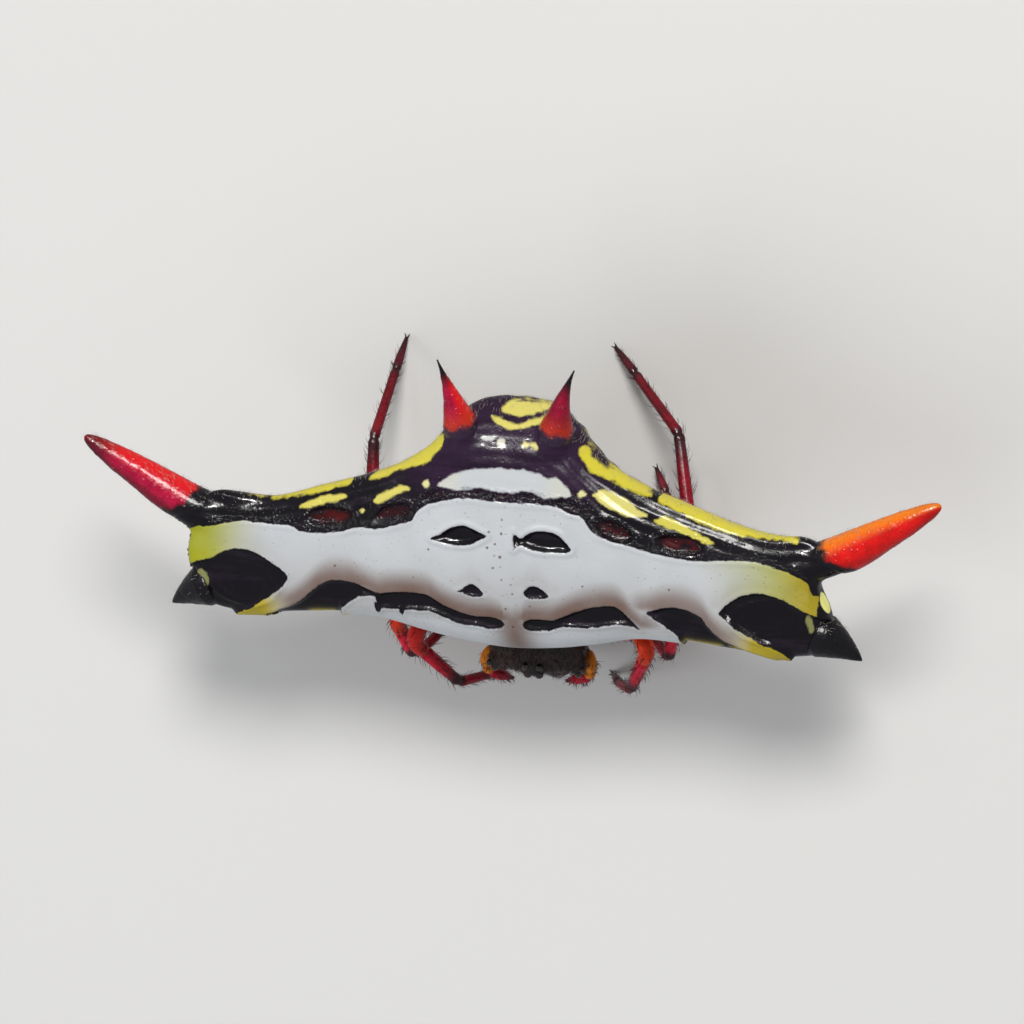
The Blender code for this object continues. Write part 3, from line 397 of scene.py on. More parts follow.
class WeaverColours(bpy.types.PropertyGroup):
    """Colours of the cuticle and the hairs."""
    pale: colour_property("Shield white", "Middle of the shield", (0.565, 0.585, 0.603))
    yellow: colour_property("Shield yellow", "Corners and patches of the shield", (0.69, 0.6, 0.05))
    lemon: colour_property("Corner lemon", "Outer corner of the right wing", (0.38, 0.385, 0.002))
    mustard: colour_property("Corner mustard", "Outer corner of the left wing", (0.42, 0.325, 0.008))
    amber: colour_property("Corner amber", "Front edge of both wings", (0.5, 0.39, 0.008))
    # Painted shade: the small cream marks beside the corner scars, darkened as if shaded
    painted_shade_olive: colour_property("Mark olive", "Small marks beside the corner scars", (0.25, 0.25, 0.09))
    cream: colour_property("Shield cream", "Pale patches on the rear slope", (0.8, 0.76, 0.42))
    # Painted shade: brownish grey behind the front scars; a darker copy colours the specks
    painted_shade_brown: colour_property("Shield shading", "Brownish grey behind the front scars", (0.17, 0.104, 0.08))
    black: colour_property("Shield black", "Scars and rear slope", (0.005, 0.0035, 0.006))
    plum: colour_property("Shield plum", "Purple tinge amid the rear slope", (0.036, 0.018, 0.042))
    ember: colour_property("Scar red", "Deep red inside the scars of the rear row", (0.085, 0.003, 0.004))
    spine_crimson: colour_property("Spine crimson", "Right and rear spines", (0.5, 0.001, 0.045))
    spot: colour_property("Spot yellow", "Bright spot on the end of the left wing", (1.0, 0.98, 0.3))
    # Spine red: the left spine's own colour, and painted light through the rear side of the others. The
    # orange below: painted light through the left spine's rear side
    spine_red: colour_property("Spine red", "Left spine, and warm side of the others", (0.82, 0.006, 0.004))
    spine_painted_glow: colour_property("Spine orange", "Warm side of the left spine", (1.0, 0.25, 0.001))
    crimson: colour_property("Leg crimson", "Femora and tibiae", (0.62, 0.002, 0.03))
    pore: colour_property("Pore brown", "Pores of the white", (0.12, 0.04, 0.03))
    rear_glow: colour_property("Spine glow", "Roots of the rear spines", (0.52, 0.035, 0.004))
    # Painted glow of light shining through the knees of the front legs
    knee: colour_property("Knee orange", "Patellae of the front legs", (0.86, 0.045, 0.004))
    leg_dark: colour_property("Leg dark", "Dark ends of the leg segments", (0.03, 0.006, 0.009))
    palp: colour_property("Palp orange", "Palps", (0.86, 0.27, 0.012))
    head: colour_property("Head black", "Head and thorax", (0.012, 0.009, 0.008))
    pale_hair: colour_property("Pale hair", "Hairs of spines and rim", (0.6, 0.54, 0.44))
    brown_hair: colour_property("Brown hair", "Fine hairs of head and legs", (0.11, 0.07, 0.045))
    bristle: colour_property("Bristle", "Bristles of the legs", (0.05, 0.012, 0.01))


class WeaverStage(bpy.types.PropertyGroup):
    """Floor, light and camera."""
    floor_colour: colour_property("Floor colour", "Colour of the floor", (0.76, 0.75, 0.73))
    key_power: bpy.props.FloatProperty(
        name="Key light", description="Power of the light from behind the animal", default=0.5, min=0.0,
        unit="POWER")
    fill_power: bpy.props.FloatProperty(
        name="Fill light", description="Power of the light from its front right", default=0.28, min=0.0,
        unit="POWER")
    glint_power: bpy.props.FloatProperty(
        name="Glint light", description="Power of the small light that makes the edges sparkle",
        default=0.8, min=0.0, unit="POWER")
    sky_strength: bpy.props.FloatProperty(
        name="Sky", description="Strength of the light from all round", default=0.28, min=0.0)
    camera_distance: bpy.props.FloatProperty(
        name="Camera distance", description="Camera to the middle of the picture", default=0.3, min=0.1,
        unit="LENGTH")


def sizes():
    return bpy.context.scene.weaver_sizes


def colours():
    return bpy.context.scene.weaver_colours


def stage_settings():
    return bpy.context.scene.weaver_stage


# Curves and numbers

def curve(table, places, level_start=True):
    """Values on a smooth curve through (place, value) rows, at many places at once."""
    rows = np.asarray(table, float)
    x = rows[:, 0]
    y = rows[:, 1]
    slope = np.empty_like(y)
    slope[1:-1] = (y[2:] - y[:-2]) / (x[2:] - x[:-2])
    slope[0] = 0.0 if level_start else (y[1] - y[0]) / (x[1] - x[0])
    slope[-1] = (y[-1] - y[-2]) / (x[-1] - x[-2])
    at = np.clip(places, x[0], x[-1])
    i = np.clip(np.searchsorted(x, at, side="right") - 1, 0, len(x) - 2)
    width = x[i + 1] - x[i]
    t = (at - x[i]) / width
    start = (2 * t ** 3 - 3 * t ** 2 + 1) * y[i] + (t ** 3 - 2 * t ** 2 + t) * width * slope[i]
    end = (3 * t ** 2 - 2 * t ** 3) * y[i + 1] + (t ** 3 - t ** 2) * width * slope[i + 1]
    return start + end


def ease(value, low, high):
    """0 below low, 1 above high, and a smooth change between; low may be the greater one."""
    t = np.clip((value - low) / (high - low), 0.0, 1.0)
    return t * t * (3 - 2 * t)


def hump(value, centre, width):
    return np.exp(-((value - centre) / width) ** 2)


def unit(vectors):
    return vectors / np.maximum(np.linalg.norm(vectors, axis=-1, keepdims=True), 1e-12)


def mirrored(point, side):
    return np.array((point[0] * side, point[1], point[2]), float)


def waves(points, period, seed):
    """A smooth random field of about the given period, from -1 to 1."""
    rng = np.random.default_rng(seed)
    total = np.zeros(len(points))
    count = 9
    for _ in range(count):
        way = unit(rng.normal(size=3)) * 2 * math.pi / (period * rng.uniform(0.7, 1.5))
        total += np.sin(points @ way + rng.uniform(0, 2 * math.pi))
    return total / count


# Meshes

def deselect():
    bpy.ops.object.select_all(action="DESELECT")


def only(item):
    deselect()
    item.select_set(True)
    bpy.context.view_layer.objects.active = item


def drawn_out(name, rings, tip=None):
    """A closed body drawn out of a filled circle, ring after ring, and to a point if there is a tip."""
    rings = np.asarray(rings, float)
    deselect()
    bpy.ops.mesh.primitive_circle_add(vertices=rings.shape[1], radius=MM, fill_type="NGON")
    item = bpy.context.object
    item.name = name
    item.data.name = name
    bpy.ops.object.mode_set(mode="EDIT")
    for _ in range(len(rings) - 1):
        bpy.ops.mesh.extrude_region_move(TRANSFORM_OT_translate={"value": (0, 0, MM)})
    corners = rings.reshape(-1, 3)
    if tip is not None:
        bpy.ops.mesh.extrude_region_move(TRANSFORM_OT_translate={"value": (0, 0, MM)})
        bpy.ops.mesh.merge(type="CENTER")
        corners = np.vstack((corners, [tip]))
    bpy.ops.object.mode_set(mode="OBJECT")
    put_points(item, corners)
    face_outwards(item)
    return item


def face_outwards(item):
    only(item)
    bpy.ops.object.mode_set(mode="EDIT")
    bpy.ops.mesh.select_all(action="SELECT")
    bpy.ops.mesh.normals_make_consistent(inside=False)
    bpy.ops.object.mode_set(mode="OBJECT")


def ball(name, centre, half, rings=24):
    """An egg-shaped body, as a start for a mound, a bead or a lobe."""
    deselect()
    place = (np.array(centre) - ZERO) * MM
    bpy.ops.mesh.primitive_uv_sphere_add(segments=2 * rings, ring_count=rings, radius=MM, location=place)
    item = bpy.context.object
    item.name = name
    item.data.name = name
    item.scale = half
    bpy.ops.object.transform_apply(location=True, rotation=True, scale=True)
    return item


def from_faces(name, points, faces):
    """A mesh from points in millimetres and faces, put in the scene."""
    mesh = bpy.data.meshes.new(name)
    mesh.from_pydata(((points - ZERO) * MM).tolist(), [], faces)
    mesh.update()
    item = bpy.data.objects.new(name, mesh)
    bpy.context.scene.collection.objects.link(item)
    return item


def take_points(item):
    """Places of a mesh's points in millimetres."""
    flat = np.empty(len(item.data.vertices) * 3)
    item.data.vertices.foreach_get("co", flat)
    return flat.reshape(-1, 3) / MM + ZERO


def put_points(item, points):
    item.data.vertices.foreach_set("co", ((points - ZERO) * MM).ravel())
    item.data.update()


def take_normals(item):
    flat = np.empty(len(item.data.vertices) * 3)
    item.data.vertices.foreach_get("normal", flat)
    return flat.reshape(-1, 3)


def paint(item, name, values):
    """Keeps one number for each point, for the finish to read."""
    layer = item.data.attributes.new(name, "FLOAT", "POINT")
    layer.data.foreach_set("value", np.asarray(values, np.float32))


def tint(item, shades):
    """Keeps one colour for each point, for the finish to read."""
    layer = item.data.attributes.new("tint", "FLOAT_COLOR", "POINT")
    rows = np.ones((len(shades), 4), np.float32)
    rows[:, :3] = shades
    layer.data.foreach_set("color", rows.ravel())


def joined(name, items):
    deselect()
    for item in items:
        item.select_set(True)
    bpy.context.view_layer.objects.active = items[0]
    if len(items) > 1:
        bpy.ops.object.join()
    items[0].name = name
    items[0].data.name = name
    return items[0]


def fused(name, items, grain, smoothing):
    """One skin round several closed bodies, evened out."""
    item = joined(name, items)
    wrap = item.modifiers.new("wrap", "REMESH")
    wrap.mode = "VOXEL"
    wrap.voxel_size = grain
    wrap.use_smooth_shade = True
    bpy.ops.object.modifier_apply(modifier="wrap")
    smooth(item, smoothing)
    return item


def smooth(item, times, weights=None):
    only(item)
    even = item.modifiers.new("even", "SMOOTH")
    even.factor = 0.5
    even.iterations = times
    if weights is not None:
        group = item.vertex_groups.new(name="evened")
        for level in range(1, 11):
            chosen = np.nonzero(np.round(weights * 10) == level)[0]
            group.add(chosen.tolist(), level / 10, "REPLACE")
        even.vertex_group = "evened"
    bpy.ops.object.modifier_apply(modifier="even")
    item.vertex_groups.clear()


def settle(item, finish, nodes=()):
    """Gives a finished piece its material and its place on the animal."""
    only(item)
    item.data.materials.clear()
    item.data.materials.append(finish)
    bpy.ops.object.shade_smooth()
    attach(item, "root")
    if nodes:
        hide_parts(*nodes)


# Paths and tubes

def rounded_path(corners, bends):
    """A path of straight stretches and arcs in small steps, and where along it each arc starts and ends."""
    corners = [Vector(corner) for corner in corners]
    points = [corners[0]]
    marks = []
    for i in range(1, len(corners) - 1):
        corner = corners[i]
        back = corners[i - 1] - corner
        ahead = corners[i + 1] - corner
        turn = math.pi - back.angle(ahead)
        reach = min(bends[i - 1] * math.tan(turn / 2), 0.46 * back.length, 0.46 * ahead.length)
        radius = reach / math.tan(turn / 2)
        start = corner + back.normalized() * reach
        end = corner + ahead.normalized() * reach
        inwards = (back.normalized() + ahead.normalized()).normalized()
        middle = corner + inwards * (radius / math.cos(turn / 2))
        axis = (start - middle).cross(end - middle).normalized()
        points.append(start)
        marks.append(path_length(points))
        steps = max(4, math.ceil(turn / math.radians(6)))
        for k in range(1, steps + 1):
            points.append(middle + Quaternion(axis, turn * k / steps) @ (start - middle))
        marks.append(path_length(points))
    points.append(corners[-1])
    return np.array([tuple(point) for point in points]), marks


def path_length(points):
    return sum((b - a).length for a, b in zip(points, points[1:]))


def places_on(points):
    """Distance of each point of a path from its start."""
    spans = np.linalg.norm(np.diff(points, axis=0), axis=1)
    return np.concatenate(([0.0], np.cumsum(spans)))


def along_path(points, places):
    """Points at given distances along a path."""
    known = places_on(points)
    return np.stack([np.interp(places, known, points[:, k]) for k in range(3)], axis=1)


def frames_along(points):
    """Two cross directions at each point of a path, turning no more than they must."""
    ways = unit(np.gradient(points, axis=0))
    first = np.cross(ways[0], (0, 0, 1))
    if np.linalg.norm(first) < 0.2:
        first = np.cross(ways[0], (0, 1, 0))
    across = Vector(unit(first))
    sides = []
    for k, way in enumerate(ways):
        if k:
            across = Vector(ways[k - 1]).rotation_difference(Vector(way)) @ across
        across = (across - Vector(way) * across.dot(Vector(way))).normalized()
        sides.append(tuple(across))
    sides = np.array(sides)
    return ways, sides, np.cross(ways, sides)


def tube_rings(points, radii, count, flatness=1.0):
    """Rings square to a path."""
    _, sides, ups = frames_along(points)
    angles = 2 * math.pi * np.arange(count) / count
    spokes = (sides[:, None, :] * np.cos(angles)[None, :, None]
              + ups[:, None, :] * np.sin(angles)[None, :, None] * flatness)
    return points[:, None, :] + spokes * np.asarray(radii)[:, None, None]


def rounded_end(way, radius, steps=5):
    """Shares of radius and steps ahead that close a tube with a round end."""
    angles = np.linspace(0, math.pi / 2, steps + 1)[1:-1]
    return [(math.cos(angle), way * radius * math.sin(angle)) for angle in angles]


def pointed(name, path, radii, count, tip):
    """A tube along a path whose last ring runs out to a tip."""
    return drawn_out(name, tube_rings(path, radii, count), path[-1] + unit(path[-1] - path[-2]) * tip)


# The shield

def shield_surface(x, t, on_top):
    """Points of the abdomen: t runs from -1 at the front edge to 1 at the back edge."""
    ax = np.minimum(np.abs(x), WING_ROUND_START)
    over = np.maximum(0.0, np.abs(x) - WING_ROUND_START) / (WING_REACH - WING_ROUND_START)
    shrink = np.maximum(0.0, 1 - over ** WING_ROUNDING) ** (1 / WING_ROUNDING)
    front = curve(FRONT_EDGE, ax)
    back = curve(BACK_EDGE, ax)
    rim = rim_height(ax, t)
    full_belly = np.where(t > 0, curve(BELLY_FULLNESS_BACK, ax), curve(BELLY_FULLNESS_FRONT, ax))
    height = np.where(on_top, curve(TOP, ax), curve(BELLY, ax)) - rim
    fullness = np.where(on_top, curve(TOP_FULLNESS, ax), full_belly)
    lift = height * np.maximum(0.0, 1 - np.abs(t) ** fullness) ** (1 / fullness)
    y = (front + back) / 2 + (back - front) / 2 * shrink * t
    z = SHIELD_TOP + rim + lift * (0.25 + 0.75 * shrink)
    return np.stack(np.broadcast_arrays(x, y, z), axis=-1)


def rim_height(ax, t):
    return curve(BACK_RIM, ax) * (1 + t) / 2 + curve(FRONT_RIM, ax) * (1 - t) / 2


def shield_rings():
    count = math.ceil(2 * WING_ROUND_START / SHIELD_STEP)
    inner = np.linspace(-WING_ROUND_START, WING_ROUND_START, count + 1)
    overhang = WING_REACH - WING_ROUND_START
    ends = WING_ROUND_START + overhang * np.sin(math.pi / 2 * np.array(SHIELD_END_SHARES))
    places = np.concatenate((-ends[::-1], inner, ends))
    angles = np.concatenate((math.pi * np.arange(TOP_POINTS) / TOP_POINTS,
                             math.pi + math.pi * np.arange(BELLY_POINTS) / BELLY_POINTS))
    return shield_surface(places[:, None], np.cos(angles)[None, :], (angles < math.pi)[None, :])


def spine_line(kind, side, shares):
    """Points of a spine's middle line, from 0 at its root inside the body to 1 at its tip."""
    root, _, tip, bow = SPINES[kind][:4]
    root_shift, tip_shift, more_bow = REAR_SPINE_SHIFTS[side] if kind == "posterior" else (0.0, 0.0, 0.0)
    start = mirrored(root, side) + (root_shift, 0, SHIELD_TOP)
    end = mirrored(tip, side) + (tip_shift, 0, SHIELD_TOP)
    bow += more_bow
    sideways = unit(np.cross(end - start, (0, 0, 1))) * side
    shares = np.asarray(shares)[:, None]
    return start + (end - start) * shares + sideways * (bow * 4 * shares * (1 - shares))


def spine_sizes(kind):
    """Length of a spine's line, and the share of it at which the free spine begins."""
    root, change, tip = (np.array(SPINES[kind][k]) for k in range(3))
    length = np.linalg.norm(tip - root)
    return length, np.linalg.norm(change - root) / length


def spine_radii(kind, shares):
    """Radius at shares of a spine's line: its base widens to the root, and the rest thins to the tip."""
    root_radius, base_radius, tip_radius, taper = SPINES[kind][4:]
    _, change = spine_sizes(kind)
    shares = np.asarray(shares)
    base = base_radius + (root_radius - base_radius) * np.maximum(0.0, 1 - shares / change) ** 1.6
    u = np.clip((shares - change) / (1 - change), 0.0, 1.0)
    cone = tip_radius + (base_radius - tip_radius) * (1 - u) ** taper
    return np.where(shares < change, base, cone)


def flare(kind, side):
    """The black base of a spine, which ends inside the free spine."""
    length, change = spine_sizes(kind)
    reach = change * length
    places = np.linspace(-reach, 0.2, FLARE_RINGS)
    shares = change + places / length
    radii = spine_radii(kind, shares) * np.interp(places, (-0.5, -0.2, 0.2), (1.0, 0.985, 0.9))
    rings = tube_rings(spine_line(kind, side, shares), radii, FLARE_POINTS)
    return drawn_out("flare", slanted(kind, side, rings, places))


def forwards_of(start, end, side):
    """Directions along a spine and towards the animal's front, square to it."""
    way = unit(end - start)
    return way, unit(np.cross(way, (0, 0, 1))) * side


def slanted(kind, side, rings, places):
    """Leans the rings of a spine along with the slanting edge of its black base."""
    way, forwards = forwards_of(*spine_line(kind, side, (0.0, 1.0)), side)
    front = (rings - rings.mean(axis=1, keepdims=True)) @ forwards
    share = COLOUR_TILT[kind] * ease(places, -0.8, -0.2) * ease(places, 1.6, 0.3)
    return rings + way * (front * share[:, None])[:, :, None]


def beyond_black(kind, side, points):
    """How far points lie beyond the place where a spine's black base ends, and how far to its rear side."""
    _, change = spine_sizes(kind)
    start, middle, end = spine_line(kind, side, (0.0, change, 1.0))
    way, forwards = forwards_of(start, end, side)
    reach = points - middle
    front = reach @ forwards
    return reach @ way - COLOUR_TILT[kind] * np.maximum(front, 0.35 * front), -front


def band(x, y, rows):
    """Distance in the plane to a patch given by rows of place across, front side and rear side."""
    rows = np.asarray(rows, float)
    step = 0.02
    sides = []
    for column, sign in ((1, -1), (2, 1)):
        table = rows[:, (0, column)]
        edge = curve(table, x, level_start=False)
        slope = (curve(table, x + step, False) - curve(table, x - step, False)) / (2 * step)
        gap = (y - edge) * sign
        sides.append(gap / np.sqrt(1 + slope ** 2 * ease(np.abs(gap), 0.4, 0.1)))
    aside = np.maximum(*sides)
    beyond = np.maximum(np.maximum(rows[0, 0] - x, x - rows[-1, 0]), 0.0)
    return np.where(beyond > 0, np.hypot(beyond, np.maximum(aside, 0.0)), aside)


def dish(distance, depth, shoulder=0.13, lip=0.022):
    """Height of a sunken scar with a raised lip, from the distance to its outline."""
    return lip * hump(distance, 0.03, 0.055) - depth * ease(-distance, 0.0, shoulder)


def ellipse(x, y, row, side):
    """Distance to a scar's outline, negative inside."""
    cx, cy, half_length, half_width, turn = row[:5]
    angle = math.radians(turn) * side
    dx = x - cx * side
    dy = y - cy
    u = (dx * math.cos(angle) + dy * math.sin(angle)) / half_length
    v = (dy * math.cos(angle) - dx * math.sin(angle)) / half_width
    reach = np.sqrt(u * u + v * v)
    endwards = np.abs(u) / np.maximum(reach, 1e-6)
    return (reach - 1) * (half_width + (half_length - half_width) * endwards * 0.5)


def both_sides(rows):
    """Rows with their side, where one on the middle line comes once."""
    return [(row, side) for row in rows for side in ((1, -1) if row[0] else (1,))]


def lie_on_shield(points):
    """How far back each point lies, from -1 to 1, and how high above the rim."""
    x, y, z = points.T
    ax = np.minimum(np.abs(x), WING_ROUND_START)
    front = curve(FRONT_EDGE, ax)
    back = curve(BACK_EDGE, ax)
    t = np.clip((2 * y - front - back) / (back - front), -1, 1)
    return t, z - SHIELD_TOP - rim_height(ax, t)


def sunken_scars(points, above):
    """Relief of the scars on the pale part, distance to the black, and painted brown shade behind them."""
    x, y, _ = points.T
    height = np.zeros(len(points))
    dark = curve(REAR_LINE, x) - y
    shade = np.zeros(len(points))
    outer = x + np.sign(x) * ease(above, 0.25, -0.3) * (0.42 + 0.16 * waves(points, 0.8, 17))
    for name, (depth, rows) in BLACK_SCARS.items():
        distance = band(outer, y, rows)
        height += dish(distance, depth)
        dark = np.minimum(dark, distance)
        if name in SHADED_SCARS:
            middle = [(row[0], (row[1] + row[2]) / 2) for row in rows]
            behind = y - curve(middle, x, level_start=False)
            near = ease(distance, 0.85, 0.04) * ease(behind, -0.1, 0.2)
            shade = np.maximum(shade, SHADED_SCARS[name] * near)
    return height, dark, shade


def scar_row(x, y):
    """Relief of the scars in the black row, distance to them, and their redness."""
    height = np.zeros(len(x))
    row = np.full(len(x), FAR)
    ember = np.zeros(len(x))
    for scar, side in both_sides(ROW_SCARS):
        distance = ellipse(x, y, scar, side)
        depth, redness = scar[5:]
        height += dish(distance, depth)
        row = np.minimum(row, distance)
        ember = np.maximum(ember, redness * ease(-distance, 0.02, 0.26))
    return height, row, ember


def corner_relief(x, y):
    """Relief of the shallow dishes in the front corners, with ripples round their middles."""
    rings = np.full(len(x), FAR)
    for cx, cy in CORNER_RINGS:
        reach = np.hypot((x - cx) / CORNER_RING_HALF[0], (y - cy) / CORNER_RING_HALF[1])
        rings = np.minimum(rings, reach)
    ripples = sum(size * hump(rings, share, width) for share, width, size in CORNER_RIPPLES)
    return ripples - CORNER_DEPTH * ease(rings, 1.0, 0.1)


def rear_relief(points, dark, middle):
    """Relief of the raised edge behind the white, and of the folds and waves on the rear slope."""
    x, y, _ = points.T
    back = curve(BACK_EDGE, np.minimum(np.abs(x), WING_ROUND_START))
    edge = WHITE_EDGE_RISE * hump(dark, 0.07, 0.06) * ease(y, 0.0, 0.3)
    fold = np.sin((back - y) * 2 * math.pi / FOLD_SPACING + 1.5 * waves(points, 1.6, 3))
    slope = FOLD_HEIGHT * fold * (1 - 0.7 * middle) + 0.012 * waves(points, 0.55, 5)
    return edge + slope * ease(dark, 0.0, -0.12) * ease(y, 0.1, 0.6) + 0.006 * waves(points, 1.4, 8)


def under_relief(points):
    """Relief below the rim: wrinkles, the furrow round the waist, and two swellings beside it."""
    x, y, _ = points.T
    wrinkle = np.sin(np.arctan2(x, y - 0.6) * WRINKLES + 2.2 * waves(points, 1.1, 11))
    furrow = np.hypot(x / 1.25, (y + 1.55) / 0.8) - 1
    swelling = np.hypot((np.abs(x) - 0.72) / 0.5, (y + 1.2) / 0.33)
    height = WRINKLE_HEIGHT * wrinkle + 0.02 * waves(points, 0.45, 13)
    height -= FURROW_DEPTH * hump(furrow, 0.0, 0.06) * ease(y, -1.6, -1.2)
    return height + SWELLING_HEIGHT * hump(swelling, 0.0, 0.9)


def pale_patches(x, y, above):
    """Distance to the nearest patch on the black, and that patch's hue."""
    patch = np.full(len(x), FAR)
    hue = np.zeros(len(x))
    below = FAR * ease(above, -0.24, -0.4)
    for share, rows in PALE_PATCHES:
        distance = band(x, y, rows) + below
        hue = np.where(distance < patch, share, hue)
        patch = np.minimum(patch, distance)
    return patch, hue + 0.07 * ease(np.abs(x), 0.8, 1.4) * (hue == WHITE_HUE)


def wing_colours(x, y, above, dark):
    """Shares of the yellows in the corners, and of the light that comes through the front edge."""
    left = x > 0
    near_rear = hump(dark, 0.0, 0.45) * ease(y, -0.8, -0.3)
    yellow = np.where(left, ease(x, 5.1 - 0.6 * near_rear, 8.0), ease(-x, 5.9, 8.0) ** 1.4)
    yellow += np.where(left, ease(x, 5.5, 7.1), ease(-x, 5.3, 6.5)) * ease(y, -1.25, -1.8)
    glow_left = ease(x, 4.3, 4.7) * ease(x, 6.3, 5.7)
    glow_right = ease(-x, 3.95, 4.3) * ease(-x, 5.35, 5.0)
    glow = np.where(left, glow_left, glow_right) * hump(above, 0.42, 0.12) * ease(y, -1.6, -1.8)
    return {
        "yellow": np.clip(yellow, 0, 1),
        "lemon": np.where(left, ease(x, 7.9, 6.6), 1.0),
        "amber": ease(y, -1.2, -1.8),
        "glow": glow,
    }


def painted_brown_shade(x, y, shade):
    """Painted brown shade behind the scars, in the middle of the front edge, and faintly over the front."""
    middle = 0.95 * hump(x, 0.25, 0.5) * ease(y, -1.1, -1.7)
    front = 0.25 * ease(y, 0.4, -1.4) * ease(y, -1.95, -1.65)
    return np.maximum(np.maximum(shade, middle), front)


def wing_end_marks(points, raised):
    """Distances to the coloured part of the long spines, and to the bright spot on the left wing's end."""
    marks = {}
    for side, word in SIDES:
        edge, rearwards = beyond_black("median", side, points)
        edge = np.minimum(edge, 1.2 * (0.62 - rearwards)) - BLACK_REACH[side]
        marks[f"horn_{word}"] = np.where(points[:, 0] * side > 7.0, edge, -FAR)
    place, level, radius = END_SPOT
    spot = np.hypot(raised[:, 1] - place, raised[:, 2] - level) - radius
    marks["spot"] = np.where(raised[:, 0] > 7.8, spot, FAR)
    return marks


def dress_shield(item):
    """Sinks the scars and raises the folds of the shield, and keeps its markings for the finish."""
    points = take_points(item)
    normals = take_normals(item)
    t, above = lie_on_shield(points)
    x = points[:, 0]
    points[:, 1] -= RIGHT_WAIST * ease(t, 0.3, 0.9) * ease(x, -7.2, -6.0) * ease(x, -1.5, -2.2)
    y = points[:, 1]
    top = ease(above, -0.15, 0.02)
    flank = ease(above, 0.0, -0.5)
    middle = ease(np.abs(x), 3.6, 1.6) * ease(y, 1.2, 1.9)

    scars, dark, shade = sunken_scars(points, above)
    row_scars, row, ember = scar_row(x, y)
    dark = np.minimum(np.minimum(dark, row), above - UNDER_LINE)
    height = (scars + row_scars + corner_relief(x, y) + rear_relief(points, dark, middle)) * top
    height += under_relief(points) * flank
    raised = points + normals * height[:, None]
    raised[:, 0] -= WING_NOTCH * ease(x, 7.7, 8.3) * hump(y, -0.32, 0.55)
    raised[:, 0] -= WING_BULGE * ease(-x, 7.7, 8.3) * hump(y, -0.75, 0.45)
    put_points(item, raised)

    patch, hue = pale_patches(x, y, above)
    marks = {
        "dark": np.minimum(dark, LEFT_WING_END - raised[:, 0]),
        "patch": patch,
        "hue": hue,
        "pore": np.min([np.hypot(x - px, y - py) for px, py in PORES], axis=0),
        "ember": ember,
        # painted brown shade behind the scars and faintly over the front
        "painted_shade_brown": painted_brown_shade(x, y, shade),
        "plum": middle,
        "flank": flank,
        "crimp": np.maximum(hump(y - curve(REAR_LINE, x), 0.08, 0.12), hump(row, 0.0, 0.1)) * top,
        **wing_colours(x, y, above, dark),
        **wing_end_marks(points, raised),
    }
    for name, values in marks.items():
        paint(item, name, values)


def soften_flares(item, bare):
    """Evens out the skin where the bases of the spines grow from it."""
    points = take_points(item)
    near = np.zeros(len(points))
    for kind in SPINES:
        _, change = spine_sizes(kind)
        for side, _ in SIDES:
            shares = np.linspace(0, change, 24)
            line = spine_line(kind, side, shares)
            radii = spine_radii(kind, shares)
            reach = np.full(len(points), FAR)
            for point, radius in zip(line, radii):
                reach = np.minimum(reach, np.abs(np.linalg.norm(points - point, axis=1) - radius))
            inner = ease(np.linalg.norm(points - line[-1], axis=1), radii[-1], radii[-1] + 0.25)
            near = np.maximum(near, ease(reach, 0.3, 0.12) * inner)
    for index in np.nonzero(near > 0.05)[0]:
        gap = bare.find_nearest(Vector(points[index]))[3]
        near[index] *= ease(gap, 0.4, 0.2)
    smooth(item, 40, near)


def build_shield():
    """The abdomen's hard skin with the black bases of its six spines."""
    rough = drawn_out("shield_skin", shield_rings())
    corners = [Vector(point) for point in take_points(rough)]
    bare = BVHTree.FromPolygons(corners, [tuple(face.vertices) for face in rough.data.polygons])
    bodies = [rough] + [flare(kind, side) for kind in SPINES for side, _ in SIDES]
    skin = fused("shield_skin", bodies, sizes().skin_grain, 8)
    soften_flares(skin, bare)
    dress_shield(skin)
    settle(skin, shield_finish(), ["abdomen"])


def spine_finishes():
    """The horns' finishes by kind and side; both front spines share one."""
    c = colours()
    rear = {"black_base": 0.08, "dark_tip": 1.0, "tip_start": 0.5, "rear": True}
    front = horn_finish("spine_front_horn", c.black, c.black, 0.0, 0.0)
    # A horn's second colour is painted light on its rear side, on the rear left spine a darker crimson of
    # painted shade; shaded is the painted shade of its front side
    return {
        ("median", 1): horn_finish("spine_left_horn", c.spine_red, c.spine_painted_glow, BLACK_REACH[1], 0.15),
        ("median", -1): horn_finish("spine_right_horn", c.spine_crimson, c.spine_red, BLACK_REACH[-1], 0.75,
                                    shaded=0.8),
        ("posterior", 1): horn_finish("spine_rear_left_horn", lighter(c.spine_crimson, 0.75),
                                      lighter(c.spine_crimson, 0.4), **rear),
        ("posterior", -1): horn_finish("spine_rear_right_horn", c.spine_crimson, c.spine_red, **rear),
        ("anterior", 1): front,
        ("anterior", -1): front,
    }


